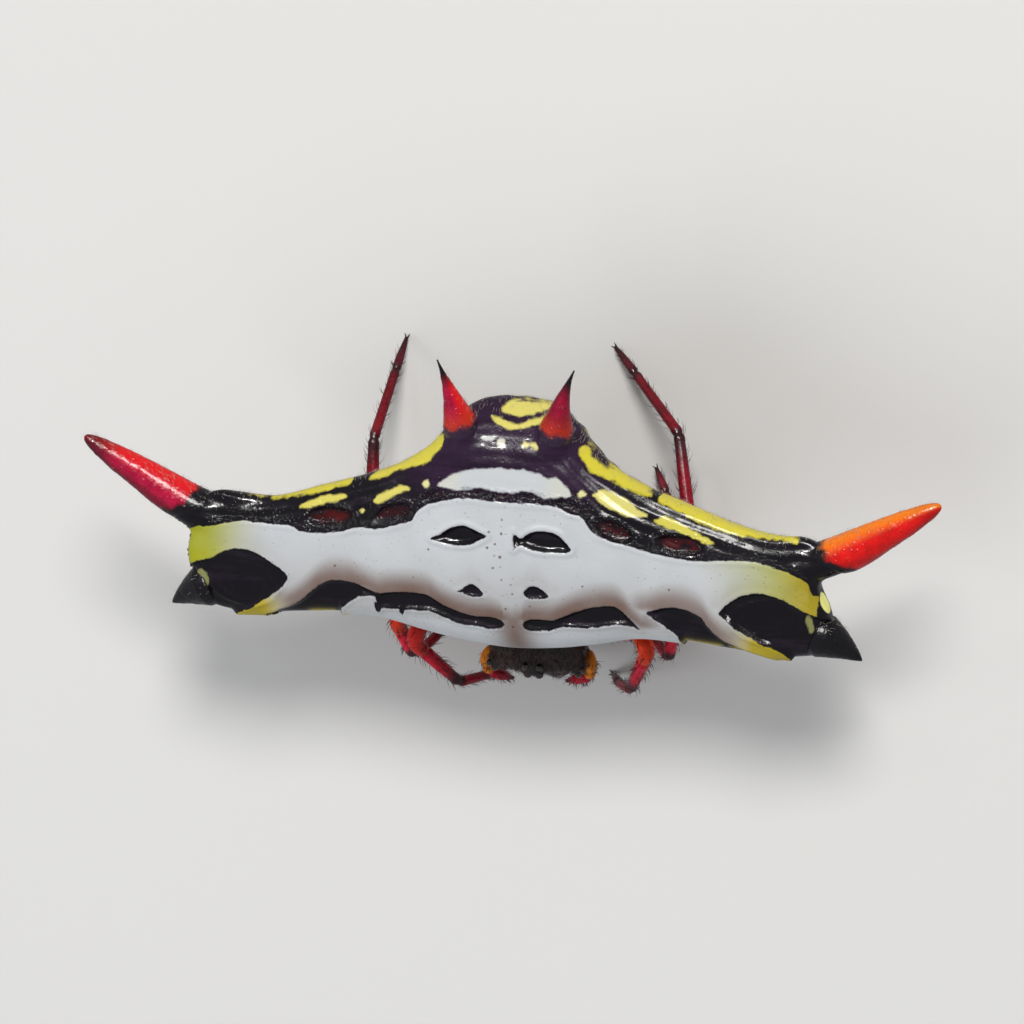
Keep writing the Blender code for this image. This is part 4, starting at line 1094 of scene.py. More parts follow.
def build_spines():
    """The six free spines, as horns that grow out of the shield's black bases."""
    finishes = spine_finishes()
    for kind in SPINES:
        length, change = spine_sizes(kind)
        free = length * (1 - change)
        outwards = 1 - (1 - np.linspace(0.005, 1, HORN_RINGS)) ** 1.5
        places = np.concatenate((HORN_START, free * outwards))
        shares = change + places / length
        radii = spine_radii(kind, shares)
        radii = radii * np.interp(places, (-0.3, -0.2, -0.1, 0.1, 0.6), (0.92, 0.985, 1.01, 1.01, 1.0))
        placed = np.append(np.repeat(places, HORN_POINTS), free)
        thickness = np.append(np.repeat(radii, HORN_POINTS), radii[-1])
        body = ease(placed, 0.05, 0.4) * ease(free - placed, 0.0, 0.5)
        for side, word in SIDES:
            line = spine_line(kind, side, shares)
            rings = slanted(kind, side, tube_rings(line, radii, HORN_POINTS), places)
            way = unit(line[-1] - line[-2])
            horn = drawn_out(f"{kind}_horn_{word}", rings, line[-1] + way * radii[-1])
            points = take_points(horn)
            grain = 0.012 * waves(points, 0.3, 21 + side) + 0.006 * waves(points, 0.12, 24 + side)
            put_points(horn, points + take_normals(horn) * (grain * body)[:, None])
            edge, rearwards = beyond_black(kind, side, points)
            paint(horn, "along", edge)
            paint(horn, "share", placed / free)
            paint(horn, "rearwards", rearwards / thickness)
            settle(horn, finishes[kind, side], [f"spine_{kind}_{word}"])


# Head

def carapace_rings():
    places = np.linspace(CARAPACE[0][0], CARAPACE[-1][0], CARAPACE_RINGS)
    width, top, under = (curve([(row[0], row[k]) for row in CARAPACE], places) for k in (1, 2, 3))
    angles = 2 * math.pi * np.arange(CARAPACE_POINTS) / CARAPACE_POINTS
    power = 2 / CARAPACE_FULLNESS
    across = np.sign(np.cos(angles)) * np.abs(np.cos(angles)) ** power
    upwards = np.sign(np.sin(angles)) * np.abs(np.sin(angles)) ** power
    x = width[:, None] * across[None, :]
    z = ((top + under) / 2)[:, None] + ((top - under) / 2)[:, None] * upwards[None, :]
    y = np.broadcast_to(places[:, None], x.shape)
    return np.stack((x, y, z), axis=-1)


def build_head():
    """Head and thorax, the breast plate, the plates of the mouth and the waist."""
    bodies = [drawn_out("head_skin", carapace_rings())]
    for centre, half in EYE_MOUNDS:
        bodies.append(ball("mound", centre, half))
    head = fused("head_skin", bodies, sizes().head_grain, 10)
    groove_head(head)
    finish = head_finish()
    settle(head, finish, ["cephalothorax"])
    plate = ball("sternum_plate", STERNUM_CENTRE, STERNUM_HALF, 32)
    shape_sternum(plate)
    settle(plate, finish, ["sternum"])
    lobes = [ball("lobe", centre, half, 20) for centre, half in MOUTH_LOBES]
    settle(fused("mouth_plates", lobes, 0.03 * MM, 4), finish)
    settle(drawn_out("waist", waist_rings()), finish, ["pedicel"])


def groove_head(head):
    """Sinks the groove behind the head, the pit in the thorax and the rays round it."""
    points = take_points(head)
    x, y, z = points.T
    upper = ease(z, 1.9, 2.2)
    groove = np.abs(y + 2.72 + 0.35 * (np.abs(x) / 1.3) ** 2)
    sunk = 0.07 * hump(groove, 0.0, 0.09) + 0.08 * hump(np.hypot(x / 0.14, (y + 2.25) / 0.3), 0.0, 0.8)
    for angle in (0.5, 1.0, 1.5):
        ray = np.abs(np.arctan2(np.abs(x), y + 2.35) - angle)
        sunk += 0.03 * hump(ray, 0.0, 0.07) * ease(np.hypot(x, y + 2.3), 0.35, 0.6)
    height = 0.014 * waves(points, 0.22, 31) - sunk * upper
    put_points(head, points + take_normals(head) * height[:, None])


def shape_sternum(plate):
    """Narrows the breast plate to its rear end and scallops its edge between the legs."""
    points = take_points(plate)
    x, y, z = points.T
    from_middle = y - STERNUM_CENTRE[1]
    edge = np.hypot(x * sternum_taper(y) / STERNUM_HALF[0], from_middle / STERNUM_HALF[1])
    scallop = np.cos(np.arctan2(x * sternum_taper(y), from_middle) * 8)
    points[:, 2] = z + 0.04 * scallop * ease(edge, 0.6, 0.95)
    points[:, 0] = x * sternum_taper(y)
    put_points(plate, points)


def sternum_taper(y):
    return np.interp(y, (-3.25, -2.9, -2.2, -1.3), (0.62, 0.95, 1.0, 0.35))


def waist_rings():
    share = np.linspace(0, 1, 40)
    line = along_path(np.array(WAIST), share * places_on(np.array(WAIST))[-1])
    radii = 0.21 + 0.05 * hump(share, 0.0, 0.25) + 0.06 * hump(share, 1.0, 0.2) + 0.012 * np.sin(share * 40)
    return tube_rings(line, radii, 24)


def build_eyes():
    """Eight round eyes in three groups, each bead sunk in its mound."""
    finish = eye_finish()
    for group, beads in EYES.items():
        items = [ball("bead", bead[:3], (bead[3],) * 3, 14) for bead in beads]
        eyes = joined(f"eye_beads_{group}", items)
        settle(eyes, finish, [f"eyes_{group}"])


def build_jaws():
    """Two stout jaws, each with its folded fang."""
    finish = jaw_finish()
    fang = claw_finish("fang_horn", colours().leg_dark)
    for side, word in SIDES:
        top = mirrored(JAW_TOP, side)
        bottom = mirrored(JAW_BOTTOM, side)
        share = np.linspace(0, 1, 34)
        line = top + (bottom - top) * share[:, None]
        line[:, 1] -= 0.07 * np.sin(math.pi * share)
        rings = tube_rings(line, curve(JAW_RADII, share), 28)
        jaw = drawn_out(f"jaw_{word}", rings, line[-1] + unit(line[-1] - line[-2]) * 0.05)
        points = take_points(jaw)
        put_points(jaw, points + take_normals(jaw) * (0.008 * waves(points, 0.16, 41 + side))[:, None])
        settle(jaw, finish, [f"chelicera_{word}"])
        angles = np.linspace(0, FANG_BEND, 26)
        hook = np.stack((
            bottom[0] - side * 0.3 * (1 - np.cos(angles)),
            bottom[1] + 0.02 + 0.16 * angles / FANG_BEND,
            bottom[2] + 0.02 - 0.17 * np.sin(angles),
        ), axis=1)
        radii = 0.075 * (1 - (angles / FANG_BEND) ** 1.6) + 0.006
        settle(pointed(f"fang_{word}", hook, radii, 16, 0.02), fang)


# Legs and palps

def joint_radii(places, joints, radii_table, pinch=0.24, reach=0.05):
    """Thickness along a limb: its own curve, drawn in at each joint and a little swollen beside it."""
    radii = curve(radii_table, places)
    for joint in joints:
        radii = radii * (1 - pinch * hump(places, joint, reach))
        radii = radii * (1 + 0.07 * hump(places, joint - 2.4 * reach, 1.6 * reach))
        radii = radii * (1 + 0.05 * hump(places, joint + 2.4 * reach, 1.6 * reach))
    return radii


def limb(name, path, radii, count, places):
    """A limb with a round end, and how far along it each of its points lies."""
    rings = list(tube_rings(path, radii, count))
    way = unit(path[-1] - path[-2])
    placed = [np.full(count, place) for place in places]
    last = rings[-1]
    middle = path[-1]
    for shrink, ahead in rounded_end(way, radii[-1]):
        rings.append(middle + (last - middle) * shrink + ahead)
        placed.append(np.full(count, places[-1]))
    item = drawn_out(name, rings, middle + way * radii[-1])
    return item, np.append(np.concatenate(placed), places[-1])


def leg_layout(name):
    """Path of a leg in even steps, with the places of its joints."""
    side = 1 if name.endswith("left") else -1
    number = int(name.split("_")[1])
    corners = [mirrored(COXA_ROOTS[number], side)] + [np.array(point, float) for point in LEGS[name]]
    corners[-1][2] = 0.06
    path, marks = rounded_path(corners, LEG_BENDS)
    total = places_on(path)[-1]
    places = np.linspace(0, total, math.ceil(total / LEG_STEP) + 1)
    joints = [marks[0] - 0.02, marks[1] + 0.02, marks[2] - 0.03, marks[3] + 0.22,
              (marks[4] + marks[5]) / 2, (marks[6] + marks[7]) / 2]
    return along_path(path, places), places, joints, total, number


def leg_radii(places, joints, total):
    a, b, c, d, e, f = joints
    table = [(0.0, 0.25), (a - 0.4, 0.27), (a, 0.225), (b, 0.19), ((b + c) / 2, 0.2), (c, 0.18),
             ((c + d) / 2, 0.225), (d, 0.18), ((d + e) / 2, 0.165), (e, 0.135), ((e + f) / 2, 0.125),
             (f, 0.115), ((f + total) / 2, 0.1), (total, 0.05)]
    return joint_radii(places, joints, table) * sizes().leg_thickness


def shades_along(stops, placed):
    """Colours at given places, between stops of place and colour."""
    known, shades = zip(*stops)
    return np.stack([np.interp(placed, known, part) for part in zip(*shades)], axis=1)


def leg_shades(name, placed, joints, total, number):
    """Colour along a leg: dark root, crimson segments with dark ends and painted light by pair, a painted
    glow on the knee in front.
    """
    colour = colours()
    dark = np.array(colour.leg_dark)
    crimson = np.array(colour.crimson)
    knee = crimson + (np.array(colour.knee) - crimson) * KNEE_GLOW.get(name, 0.0)
    crimson = crimson * LEG_PAINTED_LIGHT[number]
    a, b, c, d, e, f = joints
    stops = [(0.0, dark), (a, dark * 1.5), (b, crimson * 0.5), (b + 0.4, crimson), (c - 0.35, crimson),
             (c - 0.06, crimson * 0.5), (c + 0.06, knee * 0.8), ((c + d) / 2, knee), (d - 0.03, knee * 0.7),
             (d + 0.1, crimson * 1.15), (d * 0.45 + e * 0.55, crimson), (e - 0.28, dark * 2.2), (e, dark),
             (e + 0.2, crimson * 0.8), (f - 0.3, crimson * 0.55), (f, dark), (f + 0.25, crimson * 0.3 + dark),
             (total, dark)]
    return shades_along(stops, placed)


def leg_claws(name, path):
    """Two small claws, spread beside the tip of a leg and bent down to the floor."""
    way = unit(path[-1] - path[-2])
    flat = unit(np.array((way[0], way[1], 0.0)) + 1e-6)
    aside = np.cross((0, 0, 1), flat)
    start = path[-1] - way * 0.03
    bend = np.linspace(0, 1, 12)
    drop = 0.02 + 0.16 * bend ** 1.5 - 0.02 * bend
    hooks = []
    for turn in (-1, 1):
        hook = start + (flat + aside * 0.45 * turn) * CLAW_REACH * bend[:, None]
        hook[:, 2] = np.maximum(start[2] - drop, 0.018)
        hooks.append(pointed("hook", hook, CLAW_RADIUS * (1 - bend ** 1.5) + 0.004, 8, 0.01))
    return joined(f"{name}_claws", hooks)


def build_legs():
    """Eight legs of seven segments, each with two small claws on the floor."""
    finish = limb_finish("leg_cuticle", 0.3)
    claw_horn = claw_finish("claw_horn", colours().leg_dark)
    for name in LEGS:
        path, places, joints, total, number = leg_layout(name)
        item, placed = limb(f"{name}_skin", path, leg_radii(places, joints, total), LEG_POINTS, places)
        points = take_points(item)
        put_points(item, points + take_normals(item) * (0.004 * waves(points, 0.15, 50 + number))[:, None])
        tint(item, leg_shades(name, placed, joints, total, number))
        settle(item, finish, [f"{name}_{word}" for word in ("femur", "tibia", "tarsus")])
        settle(leg_claws(name, path), claw_horn)


def build_palps():
    """Two short palps of orange segments with dark ends."""
    finish = limb_finish("palp_cuticle", 0.34)
    colour = colours()
    orange = np.array(colour.palp)
    dark = np.array(colour.leg_dark) * 2.0
    crimson = np.array(colour.crimson) * 0.8
    for word, corners in PALPS.items():
        path, marks = rounded_path(corners, PALP_BENDS)
        total = places_on(path)[-1]
        places = np.linspace(0, total, math.ceil(total / PALP_STEP) + 1)
        a, b, c = joints = (marks[2] - 0.02, marks[3] + 0.12, (marks[4] + marks[5]) / 2)
        table = [(0, 0.17), (a, 0.145), (b, 0.15), (c, 0.14), ((c + total) / 2, 0.145), (total, 0.05)]
        radii = joint_radii(places, joints, table, 0.2, 0.04)
        item, placed = limb(f"palp_{word}_skin", along_path(path, places), radii, LEG_POINTS, places)
        stops = [(0, dark), (0.5, dark), (0.8, orange * 0.7), (a, orange), (b, orange * 0.8),
                 (b + 0.1, orange), (c - 0.1, orange * 0.8), (c + 0.02, crimson),
                 ((c + total) / 2, crimson), (total, dark)]
        tint(item, shades_along(stops, placed))
        settle(item, finish, [f"palp_{word}"])


def build_spinnerets():
    """A wrinkled collar with three pairs of spinning cones."""
    x, y = SPINNERET_CENTRE
    share = np.linspace(0, 1, 24)
    line = np.array((x, y, SPINNERET_TOP)) - share[:, None] * (0, 0, COLLAR_HEIGHT)
    radii = 0.42 - 0.05 * share + 0.018 * np.sin(share * 28)
    bodies = [drawn_out("collar", tube_rings(line, radii, 36))]
    for place, size in SPINNERET_PAIRS:
        for side in (-1, 1):
            foot = np.array((x + side * 0.16, y + place, SPINNERET_TOP - 0.36))
            end = np.array((x + side * 0.1, y + place * 0.6, SPINNERET_TIP + 0.14 * (1 - size) + 0.05))
            share = np.linspace(0, 1, 14)
            cone = foot + (end - foot) * share[:, None]
            radii = 0.13 * size * (1 - 0.35 * share) - 0.012 * hump(share, 0.62, 0.06)
            bodies.append(pointed("cone", cone, radii, 16, 0.05))
    item = fused("spinneret_cones", bodies, 0.026 * MM, 3)
    settle(item, spinneret_finish(), ["spinnerets"])


def build_granules():
    """Small glossy beads along the rear edge of the white, round the row of scars and on the wing ends."""
    skin = bpy.data.objects["shield_skin"]

    def beside_white(centre, way):
        x, y = centre[:, 0], centre[:, 1]
        beyond = y - curve(REAR_LINE, x)
        weight = hump(beyond, 0.12, 0.06) + 0.15 * hump(beyond, 0.35, 0.2)
        for scar, side in both_sides(ROW_SCARS):
            weight = np.maximum(weight, 0.6 * hump(ellipse(x, y, scar, side), 0.03, 0.06))
        weight = weight * ease(beyond, 0.04, 0.08)
        for _, rows in PALE_PATCHES:
            weight = weight * ease(band(x, y, rows), 0.05, 0.1)
        rim = ease(-x, 7.95, 8.2) * (y < 0.2) * (np.abs(way[:, 2]) < 0.3)
        return weight * (way[:, 2] > 0.25) * ease(np.abs(x), 8.0, 7.6) + 0.5 * rim

    roots, ways, rng = surface_roots(skin, GRANULES, beside_white, 160, remeshed=True)
    bead = ball("granules", (0.0, 0.0, 0.0), (1.0, 1.0, 1.0), 5)
    shape = take_points(bead)
    faces = [tuple(face.vertices) for face in bead.data.polygons]
    bpy.data.objects.remove(bead)
    half = rng.uniform(*GRANULE_HALF, GRANULES)
    across = unit(np.cross(ways, (0.3, 0.9, 0.1)))
    axes = np.stack((across, np.cross(ways, across), ways * 0.8), axis=1)
    points = roots[:, None, :] + np.einsum("vk,nkj->nvj", shape, axes) * half[:, None, None]
    every = []
    for start in range(0, GRANULES * len(shape), len(shape)):
        every.extend(tuple(start + corner for corner in face) for face in faces)
    item = from_faces("granules", points.reshape(-1, 3), every)
    face_outwards(item)
    settle(item, claw_finish("granule_horn", colours().black))


# Bristles and hairs

def surface_roots(item, count, weight, seed, remeshed=False):
    """Random places on a skin with the way out of it there, more where the weight is greater.

    Only a remeshed skin has its faces in the same order each run, so those of others are sorted first.
    """
    rng = np.random.default_rng(seed)
    mesh = item.data
    mesh.calc_loop_triangles()
    corners = np.empty(len(mesh.loop_triangles) * 3, np.int32)
    mesh.loop_triangles.foreach_get("vertices", corners)
    corners = corners.reshape(-1, 3)
    if not remeshed:
        corners = np.unique(np.sort(corners, axis=1), axis=0)
    points = take_points(item)
    normals = take_normals(item)
    a, b, c = (points[corners[:, k]] for k in range(3))
    area = np.linalg.norm(np.cross(b - a, c - a), axis=1)
    area = area * weight((a + b + c) / 3, unit(normals[corners].mean(axis=1)))
    share = np.cumsum(area) / area.sum()
    chosen = np.searchsorted(share, rng.random(count))
    u = rng.random((count, 2))
    u = np.where(u.sum(axis=1, keepdims=True) > 1, 1 - u, u)
    a, b, c = a[chosen], b[chosen], c[chosen]
    roots = a + (b - a) * u[:, :1] + (c - a) * u[:, 1:]
    return roots, unit(normals[corners[chosen]].mean(axis=1)), rng


def grow_hairs(name, roots, ways, lie, lengths, thickness, unwrap, finish, sides=3, steps=3):
    """Curved, tapered bristles with their roots in the skin, each with its own patch of the unwrap."""
    count = len(roots)
    t = np.linspace(0, 1, steps + 1)
    bend = t[None, :, None]
    course = ways[:, None, :] * (bend - 0.35 * bend ** 2) + lie[:, None, :] * 0.75 * bend ** 2
    centres = (roots - ways * 0.02)[:, None, :] + np.asarray(lengths)[:, None, None] * course
    across = unit(np.cross(ways, lie + 1e-4))
    third = unit(np.cross(across, ways + lie * 0.5))
    angles = 2 * math.pi * np.arange(sides) / sides
    spokes = (across[:, None, :] * np.cos(angles)[None, :, None]
              + third[:, None, :] * np.sin(angles)[None, :, None])
    radii = np.broadcast_to(thickness, count)[:, None] * (1 - t[None, :-1] ** 1.3 * 0.75)
    body = centres[:, :-1, None, :] + spokes[:, None, :, :] * radii[:, :, None, None]
    points = np.concatenate((body.reshape(count, -1, 3), centres[:, -1:, :]), axis=1)
    each = points.shape[1]
    faces = hair_faces(sides, steps, each - 1)
    shift = np.arange(count)[:, None] * each
    every = []
    for face in faces:
        every.extend((np.array(face)[None, :] + shift).tolist())
    flat = points.reshape(-1, 3)
    flat[:, 2] = np.maximum(flat[:, 2], HAIR_FLOOR)
    item = from_faces(name, flat, every)
    map_hairs(item.data, unwrap, t, sides)
    face_outwards(item)
    settle(item, finish)


def hair_faces(sides, steps, tip):
    """Faces of one hair: its sides ring after ring, the sides that meet at the tip, and its root."""
    faces = []
    for low in range(0, (steps - 1) * sides, sides):
        high = low + sides
        for k in range(sides):
            after = (k + 1) % sides
            faces.append((low + k, low + after, high + after, high + k))
    last = (steps - 1) * sides
    faces.extend((last + k, last + (k + 1) % sides, tip) for k in range(sides))
    faces.append(tuple(reversed(range(sides))))
    return faces


def map_hairs(mesh, unwrap, t, sides):
    """Gives each hair a small patch at its root's place on the skin's unwrap."""
    rings = [np.stack((np.arange(sides) / sides, np.full(sides, step)), axis=1) for step in t[:-1]]
    inner = np.concatenate([*rings, [(0.5, 1.0)]])
    places = unwrap[:, None, :] + (inner[None, :, :] - 0.5) * HAIR_PATCH
    places = np.clip(places.reshape(-1, 2), 0.0, 1.0)
    layer = mesh.uv_layers.new(name="OFBake")
    corner = np.empty(len(mesh.loops), np.int32)
    mesh.loops.foreach_get("vertex_index", corner)
    layer.data.foreach_set("uv", places[corner].ravel())


def lean(ways, direction, rng, spread=0.35):
    """Lie of the hairs: along a direction on the skin, with some disorder."""
    lie = direction + rng.normal(size=ways.shape) * spread
    lie = lie - ways * np.sum(lie * ways, axis=1, keepdims=True)
    return unit(lie)


def build_leg_bristles():
    """Dark bristles and finer hairs along the legs, pointing to their tips."""
    hair_finish("dark_bristle", colours().bristle, 0.32)
    hair_finish("brown_hair", colours().brown_hair, 0.4)
    length = sizes().bristle_length / MM
    for row, name in enumerate(LEGS):
        path, places, joints, total, _ = leg_layout(name)
        radii = leg_radii(places, joints, total)
        ways, sides, ups = frames_along(path)
        for kind, (word, count, scale, thick, finish) in enumerate(LEG_HAIRS):
            rng = np.random.default_rng(70 + row * len(LEG_HAIRS) + kind)
            at = rng.uniform(joints[0], total - 0.12, count)
            turn = rng.uniform(0, 2 * math.pi, count)
            k = np.clip(np.searchsorted(places, at), 1, len(places) - 1)
            out = sides[k] * np.cos(turn)[:, None] + ups[k] * np.sin(turn)[:, None]
            root = along_path(path, at) + out * np.interp(at, places, radii)[:, None]
            lie = lean(out, ways[k], rng, 0.2)
            stand = unit(out * rng.uniform(0.7, 1.3, (count, 1)) + lie * 0.55)
            share = at / total
            lengths = length * scale * rng.uniform(0.55, 1.25, count)
            lengths = lengths * np.interp(share, (0, 0.3, 0.8, 1), (0.6, 1, 0.8, 0.5))
            strip = (row + 0.1 + 0.8 * turn / (2 * math.pi)) / len(LEGS)
            unwrap = np.stack((0.02 + 0.96 * share, strip), axis=1)
            thickness = thick * rng.uniform(0.7, 1.2, count)
            grow_hairs(f"{name}_{word}", root, stand, lie, lengths, thickness, unwrap,
                       bpy.data.materials[finish])


def build_palp_bristles():
    finish = bpy.data.materials["dark_bristle"]

    def in_front(centre, way):
        return ease(centre[:, 1], -3.5, -3.7)

    for row, (side, word) in enumerate(SIDES):
        item = bpy.data.objects[f"palp_{word}_skin"]
        roots, ways, rng = surface_roots(item, 170, in_front, 90 + row)
        lie = lean(ways, np.array((-0.3 * side, -1.0, -0.4)), rng)
        stand = unit(ways + lie * 0.5)
        strip = (row + 0.1 + 0.8 * (np.abs(roots[:, 0]) - 0.8)) / 2
        unwrap = np.stack((0.05 + 0.9 * (roots[:, 2] - 0.6) / 1.6, strip), axis=1)
        lengths = rng.uniform(0.1, 0.24, len(roots))
        grow_hairs(f"palp_{word}_bristles", roots, stand, lie, lengths, 0.009, unwrap, finish)


def build_jaw_bristles():
    finish = bpy.data.materials["dark_bristle"]

    def facing_forwards(centre, way):
        return ease(way[:, 1], 0.6, -0.2)

    for row, (_, word) in enumerate(SIDES):
        item = bpy.data.objects[f"jaw_{word}"]
        roots, ways, rng = surface_roots(item, 110, facing_forwards, 95 + row)
        lie = lean(ways, np.array((0.0, -0.2, -1.0)), rng)
        stand = unit(ways + lie * 0.6)
        strip = (row + 0.2 + 0.6 * np.abs(roots[:, 0])) / 2
        unwrap = np.stack((0.05 + 0.9 * (roots[:, 2] - 0.6) / 1.5, strip), axis=1)
        lengths = rng.uniform(0.08, 0.2, len(roots))
        grow_hairs(f"jaw_{word}_bristles", roots, stand, lie, lengths, 0.006, unwrap, finish)


def build_head_hair():
    """Short dark and brown hairs over the head and thorax, lying forwards on the head."""
    head = bpy.data.objects["head_skin"]

    def beside_eyes(centre, way):
        clear = ease(centre[:, 2], 1.3, 1.7)
        for group in EYES.values():
            for *middle, radius in group:
                clear *= ease(np.linalg.norm(centre - middle, axis=1), radius + 0.02, radius + 0.1)
        return clear

    for name, count, low, high, thick, finish, seed in HEAD_HAIRS:
        roots, ways, rng = surface_roots(head, count, beside_eyes, seed, remeshed=True)
        forwards = np.where(roots[:, 1:2] < -2.7, -1.0, 0.8) * (0.0, 1.0, 0.0) - (0.0, 0.0, 0.25)
        lie = lean(ways, forwards, rng)
        stand = unit(ways * rng.uniform(0.5, 1.1, (count, 1)) + lie * 0.7)
        angle = np.arctan2(roots[:, 0], roots[:, 2] - 1.4)
        strip = 0.03 + 0.94 * (roots[:, 1] + 4.1) / 3.0
        unwrap = np.stack((0.5 + angle / (2 * math.pi) * 0.95, strip), axis=1)
        grow_hairs(name, roots, stand, lie, rng.uniform(low, high, count), thick, unwrap,
                   bpy.data.materials[finish])


def build_spine_hair():
    """Fine pale hairs on the spines, most of them on the rear side."""
    pale = hair_finish("pale_hair", colours().pale_hair, 0.4)
    length = sizes().hair_length / MM

    def facing_rearwards(centre, way):
        return 0.04 + ease(way[:, 1], 0.1, 0.8)

    for kind in SPINES:
        count = 190 if kind == "median" else 90
        for side, word in SIDES:
            item = bpy.data.objects[f"{kind}_horn_{word}"]
            roots, ways, rng = surface_roots(item, count, facing_rearwards, 120 + side)
            root, middle, beyond = spine_line(kind, side, (0.0, 0.5, 0.52))
            tipwards = unit(beyond - middle)
            lie = lean(ways, tipwards, rng, 0.25)
            stand = unit(ways + lie * 0.35)
            share = (roots - root) @ tipwards / spine_sizes(kind)[0]
            strip = 0.5 + 0.45 * np.arctan2(ways[:, 2], ways[:, 1]) / math.pi
            unwrap = np.stack((np.clip(share, 0.02, 0.98), strip), axis=1)
            lengths = length * rng.uniform(0.45, 1.2, count)
            grow_hairs(f"{kind}_down_{word}", roots, stand, lie, lengths, DOWN_THICKNESS, unwrap, pale)


def build_rim_hair():
    """Fine pale hairs along the rear rim of the shield."""
    length = sizes().hair_length / MM

    def on_rear_slope(centre, way):
        ax = np.minimum(np.abs(centre[:, 0]), WING_ROUND_START)
        behind = centre[:, 1] - curve(BACK_EDGE, ax)
        return ease(behind, -0.4, -0.08) * ease(centre[:, 2] - SHIELD_TOP, -2.6, -1.6)

    skin = bpy.data.objects["shield_skin"]
    roots, ways, rng = surface_roots(skin, RIM_HAIRS, on_rear_slope, 140, remeshed=True)
    lie = lean(ways, np.array((0.0, 0.6, -0.6)), rng)
    stand = unit(ways + lie * 0.35)
    unwrap = np.stack((0.5 + roots[:, 0] / 18, 0.5 + roots[:, 1] / 10), axis=1)
    lengths = length * rng.uniform(0.4, 1.0, RIM_HAIRS)
    grow_hairs("rear_rim_down", roots, stand, lie, lengths, DOWN_THICKNESS, unwrap,
               bpy.data.materials["pale_hair"])


# Finishes

class Finish:
    """One material, whose nodes are laid down one after another."""

    def __init__(self, name):
        self.material = bpy.data.materials.new(name)
        self.material.use_nodes = True
        self.tree = self.material.node_tree
        self.shader = self.tree.nodes["Principled BSDF"]
        self.count = 0

    def node(self, kind, **settings):
        node = self.tree.nodes.new(kind)
        self.count += 1
        node.location = (-220 * (self.count // 4 + 1), 300 - 180 * (self.count % 4))
        for key, value in settings.items():
            setattr(node, key, value)
        return node

    def feed(self, socket, value):
        if isinstance(value, bpy.types.NodeSocket):
            self.tree.links.new(value, socket)
        elif isinstance(value, (tuple, list, np.ndarray)) or hasattr(value, "hsv"):
            parts = tuple(value)
            socket.default_value = (*parts[:3], 1.0) if socket.type == "RGBA" else parts
        else:
            socket.default_value = value

    def plus(self, a, b):
        return self.math("ADD", a, b)

    def times(self, a, b):
        return self.math("MULTIPLY", a, b)

    def ripple(self, per_mm, detail, size, shift=0.0):
        """Noise from minus to plus half the size, moved by a shift."""
        return self.math("MULTIPLY_ADD", self.noise(per_mm, detail), size, shift - size / 2)

    def set(self, **values):
        """Constants and links of the shader itself, with _ for a blank in a socket's name."""
        for key, value in values.items():
            self.feed(self.shader.inputs[key.replace("_", " ")], value)

    def field(self, name, output="Fac"):
        return self.node("ShaderNodeAttribute", attribute_name=name).outputs[output]

    def place(self, stretch=None):
        socket = self.node("ShaderNodeTexCoord").outputs["Object"]
        if stretch is None:
            return socket
        mapping = self.node("ShaderNodeMapping")
        self.feed(mapping.inputs["Vector"], socket)
        mapping.inputs["Scale"].default_value = stretch
        return mapping.outputs["Vector"]

    def noise(self, per_mm, detail=2.0, roughness=0.5, stretch=None):
        node = self.node("ShaderNodeTexNoise")
        self.feed(node.inputs["Vector"], self.place(stretch))
        node.inputs["Scale"].default_value = per_mm / MM
        node.inputs["Detail"].default_value = detail
        node.inputs["Roughness"].default_value = roughness
        return node.outputs["Fac"]

    def cells(self, per_mm, output="Distance", feature="F1"):
        node = self.node("ShaderNodeTexVoronoi", feature=feature)
        self.feed(node.inputs["Vector"], self.place())
        node.inputs["Scale"].default_value = per_mm / MM
        return node.outputs[output]

    def math(self, operation, a, b=0.0, c=None):
        node = self.node("ShaderNodeMath", operation=operation)
        self.feed(node.inputs[0], a)
        self.feed(node.inputs[1], b)
        if c is not None:
            self.feed(node.inputs[2], c)
        return node.outputs[0]

    def ease(self, value, low, high, bottom=0.0, top=1.0):
        """bottom below low and top above high, with a smooth change; low may be the greater one."""
        node = self.node("ShaderNodeMapRange", interpolation_type="SMOOTHSTEP")
        self.feed(node.inputs["Value"], value)
        if low > high:
            low, high, bottom, top = high, low, top, bottom
        for name, number in (("From Min", low), ("From Max", high), ("To Min", bottom), ("To Max", top)):
            node.inputs[name].default_value = number
        return node.outputs["Result"]

    def mix(self, share, a, b, **settings):
        node = self.node("ShaderNodeMix", data_type="RGBA", **settings)
        self.feed(node.inputs[0], share)
        self.feed(node.inputs[6], a)
        self.feed(node.inputs[7], b)
        return node.outputs[2]

    def bump(self, height, depth, strength=1.0):
        """A relief whose height from 0 to 1 stands for the depth in millimetres."""
        node = self.node("ShaderNodeBump")
        node.inputs["Strength"].default_value = strength
        node.inputs["Distance"].default_value = depth * MM
        self.feed(node.inputs["Height"], height)
        return node.outputs["Normal"]


def lighter(colour, factor):
    return tuple(min(1.0, part * factor) for part in colour)


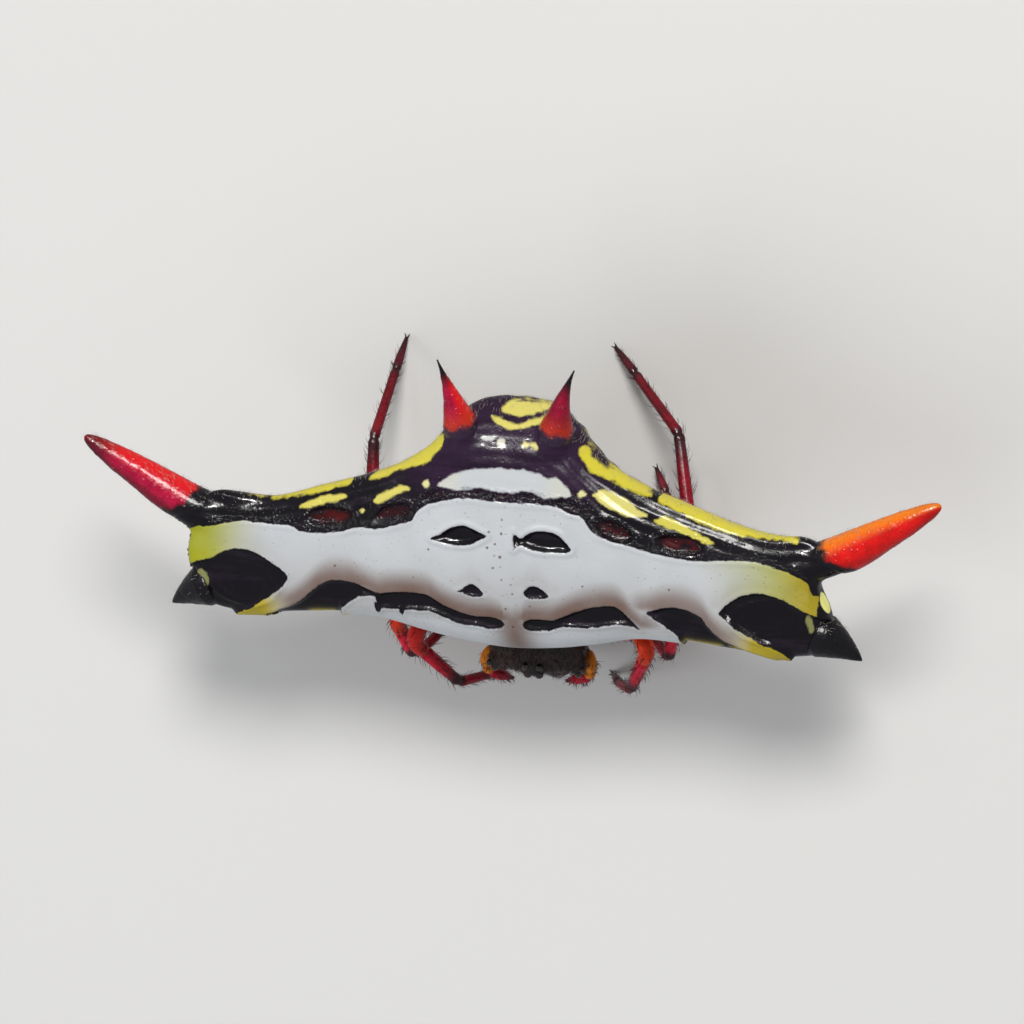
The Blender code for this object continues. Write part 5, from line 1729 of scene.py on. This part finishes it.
def pale_cuticle(f, c):
    """White with yellow corners, painted brownish shade, specks and pores."""
    cloud = f.noise(1.1, 3.0)
    pale = f.mix(f.ease(cloud, 0.3, 0.75), c.pale, lighter(c.pale, 1.07))
    yellow_share = f.times(f.field("yellow"), f.ease(cloud, 0.1, 0.6, 0.9, 1.0))
    near_edge = f.ease(f.field("dark"), 1.0, 0.05, 0.92, 1.0)
    corner = f.mix(f.field("lemon"), c.mustard, c.lemon)
    corner = f.mix(f.field("amber"), corner, c.amber)
    pale = f.mix(f.times(yellow_share, near_edge), pale, corner)
    # Painted shade: brownish grey behind the front scars and faintly over the front, less on the yellow
    painted_shade = f.times(f.field("painted_shade_brown"), f.ease(cloud, 0.2, 0.7, 0.88, 1.0))
    painted_shade = f.times(painted_shade, f.ease(yellow_share, 0.0, 0.8, 1.0, 0.15))
    pale = f.mix(painted_shade, pale, c.painted_shade_brown)
    speck = f.times(f.ease(f.cells(6.5), 0.15, 0.08), f.ease(f.noise(1.4, 2.0), 0.4, 0.56, 0.0, 0.5))
    pale = f.mix(speck, pale, lighter(c.painted_shade_brown, 0.6))
    pore = f.plus(f.field("pore"), f.ripple(3.0, 2.0, 0.08))
    return f.mix(f.ease(pore, 0.05, 0.02, 0.0, 0.85), pale, c.pore)


def black_cuticle(f, c):
    """Black with plum streaks in the middle, red scars, and yellow mottling below the rim."""
    streak = f.noise(1.0, 4.0, 0.6, (0.5, 3.2, 1.5))
    black = f.mix(f.ease(streak, 0.5, 0.75, 0.0, 0.35), c.black, c.plum)
    black = f.mix(f.times(f.field("plum"), f.ease(streak, 0.2, 0.6, 0.35, 1.0)), black, c.plum)
    black = f.mix(f.times(f.field("ember"), f.ease(f.noise(3.0, 2.0), 0.3, 0.65)), black, c.ember)
    mottle = f.times(f.ease(f.noise(1.5, 3.0, 0.55), 0.55, 0.62), f.field("flank"))
    return f.mix(mottle, black, lighter(c.yellow, 0.62))


def patch_cuticle(f, c):
    """White, cream or yellow by the hue kept on the points, and a dark colour of painted shade for the lowest
    hue.
    """
    hue = f.field("hue")
    patch = f.mix(hue, c.cream, c.yellow)
    patch = f.mix(f.ease(hue, 0.35, 0.1), patch, lighter(c.pale, 1.02))
    return f.mix(f.ease(hue, -0.3, -0.7), patch, c.painted_shade_olive)


def shield_finish():
    """Porcelain white shield with yellow corners, black scars and a black rear slope."""
    f = Finish("shield_cuticle")
    c = colours()
    wobble = f.ripple(5.0, 3.0, 0.09)
    fine = f.ripple(22.0, 2.0, 0.036)
    dark = f.ease(f.plus(f.plus(f.field("dark"), wobble), fine), 0.012, -0.016)
    patch = f.ease(f.plus(f.plus(f.field("patch"), f.times(wobble, 1.6)), fine), 0.03, -0.04)
    base = f.mix(dark, pale_cuticle(f, c), black_cuticle(f, c))
    base = f.mix(patch, base, patch_cuticle(f, c))
    # Painted light: amber glow where light comes through the front edge
    base = f.mix(f.times(f.field("glow"), f.ease(f.noise(2.5, 2.0), 0.35, 0.5)), base, c.amber)
    base = f.mix(f.ease(f.plus(f.field("spot"), fine), 0.02, -0.03), base, c.spot)
    # The spines' colours run onto the skin round their bases, mixed with the painted light of their rear side
    horns = (("left", c.spine_red, c.spine_painted_glow), ("right", c.spine_crimson, c.spine_red))
    for word, colour, warm in horns:
        mask = base_mask(f, f.field(f"horn_{word}"), 0.0)
        base = f.mix(mask, base, f.mix(0.6, colour, warm))
    f.set(Base_Color=base)

    plum = f.field("plum")
    rough = f.plus(f.ease(dark, 0.0, 1.0, 0.34, 0.22), f.times(plum, 0.04))
    f.set(Roughness=f.plus(rough, f.ripple(7.0, 2.0, 0.14)))
    f.set(Coat_Weight=f.ease(plum, 0.0, 1.0, 0.22, 0.02), Coat_Roughness=0.07)
    f.set(Specular_IOR_Level=f.ease(plum, 0.0, 1.0, 0.25, 0.07))
    leather = f.times(f.noise(9.0, 3.0, 0.6), 0.35)
    grains = f.times(f.times(f.field("crimp"), f.ease(f.cells(8.5), 0.5, 0.1)), dark)
    pits = f.times(f.ease(f.cells(5.5), 0.0, 0.35), 0.25)
    relief = f.plus(f.plus(leather, f.times(grains, 1.4)), pits)
    f.set(Normal=f.bump(relief, 0.034, 0.6))
    return f.material


def horn_colour(f, colour, warm, rearwards, shaded):
    """Streaked red of a spine, warmer where painted light comes through its rear side, darker with painted
    shade in front.
    """
    base = f.mix(f.ease(f.noise(2.6, 3.0, 0.6), 0.35, 0.7), colour, lighter(colour, 0.7))
    base = f.mix(f.ease(rearwards, 0.1, -0.75, 0.0, shaded), base, lighter(colour, 0.25))
    return f.mix(f.ease(rearwards, 0.1, 0.95, 0.0, 0.9), base, warm)


def horn_finish(name, colour, warm, black_base, dark_tip, tip_start=0.6, shaded=0.2, rear=False):
    """Glossy horn: black at its base, or plum on a rear spine, then its colour, darker to the tip."""
    f = Finish(name)
    c = colours()
    base = horn_colour(f, colour, warm, f.field("rearwards"), shaded)
    if rear:
        base = f.mix(f.ease(f.field("share"), 0.38, 0.0, 0.0, 0.85), base, c.rear_glow)
    tip = f.times(f.ease(f.field("share"), tip_start, tip_start + 0.33), dark_tip)
    base = f.mix(tip, base, c.black)
    base = f.mix(base_mask(f, f.field("along"), black_base), c.plum if rear else c.black, base)
    f.set(Base_Color=base, Roughness=f.ease(f.noise(6.0, 2.0), 0.2, 0.8, 0.18, 0.34))
    f.set(Coat_Weight=0.25, Coat_Roughness=0.07, Specular_IOR_Level=0.32)
    if colour != c.black:
        f.set(Subsurface_Weight=0.2, Subsurface_Scale=0.2 * MM, Subsurface_Radius=(1.0, 0.25, 0.1))
    relief = f.plus(f.times(f.noise(11.0, 2.0), 0.8), f.ease(f.cells(7.0), 0.35, 0.05, 0.0, 0.8))
    f.set(Normal=f.bump(relief, 0.028, 0.7))
    return f.material


def base_mask(f, along, start):
    """0 on a spine's black base and 1 on its coloured part, with a ragged edge."""
    return f.ease(f.plus(along, f.ripple(4.0, 3.0, 0.36, -start)), -0.1, 0.1)


def claw_finish(name, colour):
    f = Finish(name)
    f.set(Base_Color=f.mix(f.noise(6.0), colour, lighter(colour, 0.4)), Roughness=0.2, Coat_Weight=0.3)
    return f.material


def head_finish():
    f = Finish("head_cuticle")
    base = f.mix(f.ease(f.noise(3.0, 3.0), 0.4, 0.7), colours().head, (0.03, 0.015, 0.012))
    f.set(Base_Color=base, Roughness=f.ease(f.noise(5.0, 2.0), 0.2, 0.8, 0.34, 0.52))
    f.set(Coat_Weight=0.15, Coat_Roughness=0.2)
    relief = f.plus(f.noise(9.0, 3.0, 0.6), f.ease(f.cells(7.0), 0.0, 0.35))
    f.set(Normal=f.bump(relief, 0.022, 0.6))
    return f.material


def eye_finish():
    f = Finish("eye_lens")
    base = f.mix(f.ease(f.noise(2.0), 0.4, 0.6), (0.012, 0.006, 0.004), (0.035, 0.014, 0.008))
    f.set(Base_Color=base, Roughness=0.06, Coat_Weight=1.0, Coat_Roughness=0.03)
    return f.material


def jaw_finish():
    f = Finish("jaw_cuticle")
    base = f.mix(f.ease(f.noise(2.5, 3.0), 0.35, 0.7), (0.03, 0.01, 0.009), (0.07, 0.018, 0.012))
    f.set(Base_Color=base, Roughness=f.ease(f.noise(8.0, 2.0), 0.2, 0.8, 0.22, 0.38))
    f.set(Coat_Weight=0.3, Coat_Roughness=0.12)
    f.set(Normal=f.bump(f.noise(14.0, 3.0), 0.016, 0.5))
    return f.material


def limb_finish(name, roughness):
    """Glossy, slightly translucent limb cuticle in the colours kept on its points."""
    f = Finish(name)
    mottle = f.mix(f.noise(4.0, 3.0, 0.6), (0.62, 0.6, 0.6), (1.25, 1.2, 1.2))
    base = f.mix(1.0, f.field("tint", "Color"), mottle, blend_type="MULTIPLY")
    f.set(Base_Color=base, Roughness=f.ease(f.noise(9.0, 2.0), 0.2, 0.8, roughness - 0.07, roughness + 0.1))
    f.set(Coat_Weight=0.14, Coat_Roughness=0.12, Specular_IOR_Level=0.28)
    f.set(Subsurface_Weight=0.12, Subsurface_Scale=0.12 * MM, Subsurface_Radius=(1.0, 0.3, 0.15))
    relief = f.plus(f.noise(16.0, 2.0), f.ease(f.cells(9.0), 0.0, 0.25, 0.0, 0.6))
    f.set(Normal=f.bump(relief, 0.014, 0.5))
    return f.material


def spinneret_finish():
    f = Finish("spinneret_cuticle")
    base = f.mix(f.ease(f.noise(3.5, 3.0), 0.35, 0.65), (0.03, 0.012, 0.01), (0.16, 0.055, 0.03))
    f.set(Base_Color=base, Roughness=0.45, Coat_Weight=0.1)
    f.set(Normal=f.bump(f.noise(12.0, 3.0), 0.02, 0.6))
    return f.material


def hair_finish(name, colour, roughness):
    f = Finish(name)
    base = f.mix(f.noise(1.3, 2.0), lighter(colour, 0.7), lighter(colour, 1.2))
    f.set(Base_Color=base, Roughness=roughness, Coat_Weight=0.2, Coat_Roughness=0.15)
    return f.material


def floor_finish():
    f = Finish("floor_board")
    colour = stage_settings().floor_colour
    base = f.mix(f.noise(0.03, 3.0), lighter(colour, 0.985), lighter(colour, 1.015))
    f.set(Base_Color=base, Roughness=0.7)
    return f.material


# Stage

def area_light(name, power):
    place, level, size, colour = LIGHTS[name]
    deselect()
    bpy.ops.object.light_add(type="AREA", location=place)
    light = bpy.context.object
    light.name = name
    light.data.shape = "DISK"
    light.data.size = size
    light.data.energy = power
    light.data.color = colour
    way = Vector((0, 0, level)) - Vector(place)
    light.rotation_euler = way.to_track_quat("-Z", "Y").to_euler()
    return light


def view_axes():
    """Directions to the right and up in the picture, and towards the camera."""
    back = Vector(VIEW_FROM).normalized()
    across = (Vector((1, 0, 0)) - back * back.x).normalized()
    over = back.cross(across)
    roll = math.radians(VIEW_ROLL)
    right = across * math.cos(roll) - over * math.sin(roll)
    return right, back.cross(right), back


def build_stage():
    """Pale floor, soft lights, sky and the camera at the photograph's angle."""
    settings = stage_settings()
    deselect()
    bpy.ops.mesh.primitive_grid_add(x_subdivisions=12, y_subdivisions=12, size=FLOOR_SIZE)
    floor = bpy.context.object
    floor.name = "floor"
    floor.data.materials.append(floor_finish())
    floor.visible_glossy = False

    area_light("key_light", settings.key_power)
    glint = area_light("glint_light", settings.glint_power)
    glint.visible_diffuse = False
    fill = area_light("fill_light", settings.fill_power)
    fill.visible_glossy = False
    world = bpy.data.worlds.new("sky")
    bpy.context.scene.world = world
    world.use_nodes = True
    sky = world.node_tree.nodes["Background"]
    sky.inputs["Color"].default_value = SKY_COLOUR
    sky.inputs["Strength"].default_value = settings.sky_strength

    right, up, back = view_axes()
    half = IMAGE_PIXELS / 2
    aside = (half - SHIELD_MIDDLE_PIXEL[0]) / PIXELS_PER_MM
    over = (SHIELD_MIDDLE_PIXEL[1] - half) / PIXELS_PER_MM
    middle = Vector((0, -MIDDLE_Y, SHIELD_TOP)) + right * aside + up * over
    distance = settings.camera_distance
    deselect()
    bpy.ops.object.camera_add(location=middle * MM + back * distance)
    camera = bpy.context.object
    camera.name = "camera"
    camera.rotation_euler = Matrix((right, up, back)).transposed().to_euler()
    camera.data.sensor_width = SENSOR
    camera.data.lens = PIXELS_PER_MM / MM * SENSOR * distance / IMAGE_PIXELS
    camera.data.clip_start = 0.01
    camera.data.clip_end = 10.0
    bpy.context.scene.camera = camera
    bpy.context.scene.view_settings.view_transform = "Standard"


# Operators and panel

class WEAVER_OT_shield(bpy.types.Operator):
    """Build the hard shield with its scars, markings and the black bases of the spines"""
    bl_idname = "weaver.shield"
    bl_label = "Shield"

    def execute(self, context):
        build_shield()
        build_granules()
        return {"FINISHED"}


class WEAVER_OT_spines(bpy.types.Operator):
    """Build the six free spines"""
    bl_idname = "weaver.spines"
    bl_label = "Spines"

    def execute(self, context):
        build_spines()
        return {"FINISHED"}


class WEAVER_OT_head(bpy.types.Operator):
    """Build the head and thorax, the breast plate and the waist"""
    bl_idname = "weaver.head"
    bl_label = "Head and thorax"

    def execute(self, context):
        build_head()
        return {"FINISHED"}


class WEAVER_OT_eyes(bpy.types.Operator):
    """Build the eight eyes"""
    bl_idname = "weaver.eyes"
    bl_label = "Eyes"

    def execute(self, context):
        build_eyes()
        return {"FINISHED"}


class WEAVER_OT_jaws(bpy.types.Operator):
    """Build the jaws and their fangs"""
    bl_idname = "weaver.jaws"
    bl_label = "Jaws"

    def execute(self, context):
        build_jaws()
        return {"FINISHED"}


class WEAVER_OT_palps(bpy.types.Operator):
    """Build the two palps"""
    bl_idname = "weaver.palps"
    bl_label = "Palps"

    def execute(self, context):
        build_palps()
        return {"FINISHED"}


class WEAVER_OT_legs(bpy.types.Operator):
    """Build the eight legs and their claws"""
    bl_idname = "weaver.legs"
    bl_label = "Legs"

    def execute(self, context):
        build_legs()
        return {"FINISHED"}


class WEAVER_OT_spinnerets(bpy.types.Operator):
    """Build the spinnerets under the abdomen"""
    bl_idname = "weaver.spinnerets"
    bl_label = "Spinnerets"

    def execute(self, context):
        build_spinnerets()
        return {"FINISHED"}


class WEAVER_OT_bristles(bpy.types.Operator):
    """Grow the bristles of legs and palps, and the hairs of head, spines and rear rim"""
    bl_idname = "weaver.bristles"
    bl_label = "Bristles and hairs"

    def execute(self, context):
        build_leg_bristles()
        build_palp_bristles()
        build_jaw_bristles()
        build_head_hair()
        build_spine_hair()
        build_rim_hair()
        return {"FINISHED"}


class WEAVER_OT_stage(bpy.types.Operator):
    """Set the floor, the lights and the camera"""
    bl_idname = "weaver.stage"
    bl_label = "Stage"

    def execute(self, context):
        build_stage()
        return {"FINISHED"}


class WEAVER_PT_panel(bpy.types.Panel):
    """Sizes, colours and building steps of the spiny orb weaver"""
    bl_idname = "WEAVER_PT_panel"
    bl_label = "Spiny orb weaver"
    bl_space_type = "VIEW_3D"
    bl_region_type = "UI"
    bl_category = "Orb weaver"

    def draw(self, context):
        layout = self.layout
        for group in (context.scene.weaver_sizes, context.scene.weaver_colours, context.scene.weaver_stage):
            box = layout.box()
            for key in group.__annotations__:
                box.prop(group, key)
        for operator in OPERATORS:
            layout.operator(operator.bl_idname)


GROUPS = (WeaverSizes, WeaverColours, WeaverStage)
OPERATORS = (WEAVER_OT_shield, WEAVER_OT_spines, WEAVER_OT_head, WEAVER_OT_eyes, WEAVER_OT_jaws,
             WEAVER_OT_palps, WEAVER_OT_legs, WEAVER_OT_spinnerets, WEAVER_OT_bristles, WEAVER_OT_stage)


def register():
    for item in (*GROUPS, *OPERATORS, WEAVER_PT_panel):
        bpy.utils.register_class(item)
    bpy.types.Scene.weaver_sizes = bpy.props.PointerProperty(type=WeaverSizes)
    bpy.types.Scene.weaver_colours = bpy.props.PointerProperty(type=WeaverColours)
    bpy.types.Scene.weaver_stage = bpy.props.PointerProperty(type=WeaverStage)


def unregister():
    del bpy.types.Scene.weaver_stage
    del bpy.types.Scene.weaver_colours
    del bpy.types.Scene.weaver_sizes
    for item in reversed((*GROUPS, *OPERATORS, WEAVER_PT_panel)):
        bpy.utils.unregister_class(item)


def main():
    register()
    bpy.ops.weaver.shield()
    bpy.ops.weaver.spines()
    bpy.ops.weaver.head()
    bpy.ops.weaver.eyes()
    bpy.ops.weaver.jaws()
    bpy.ops.weaver.palps()
    bpy.ops.weaver.legs()
    bpy.ops.weaver.spinnerets()
    bpy.ops.weaver.bristles()
    bpy.ops.weaver.stage()


if __name__ == "__main__":
    main()
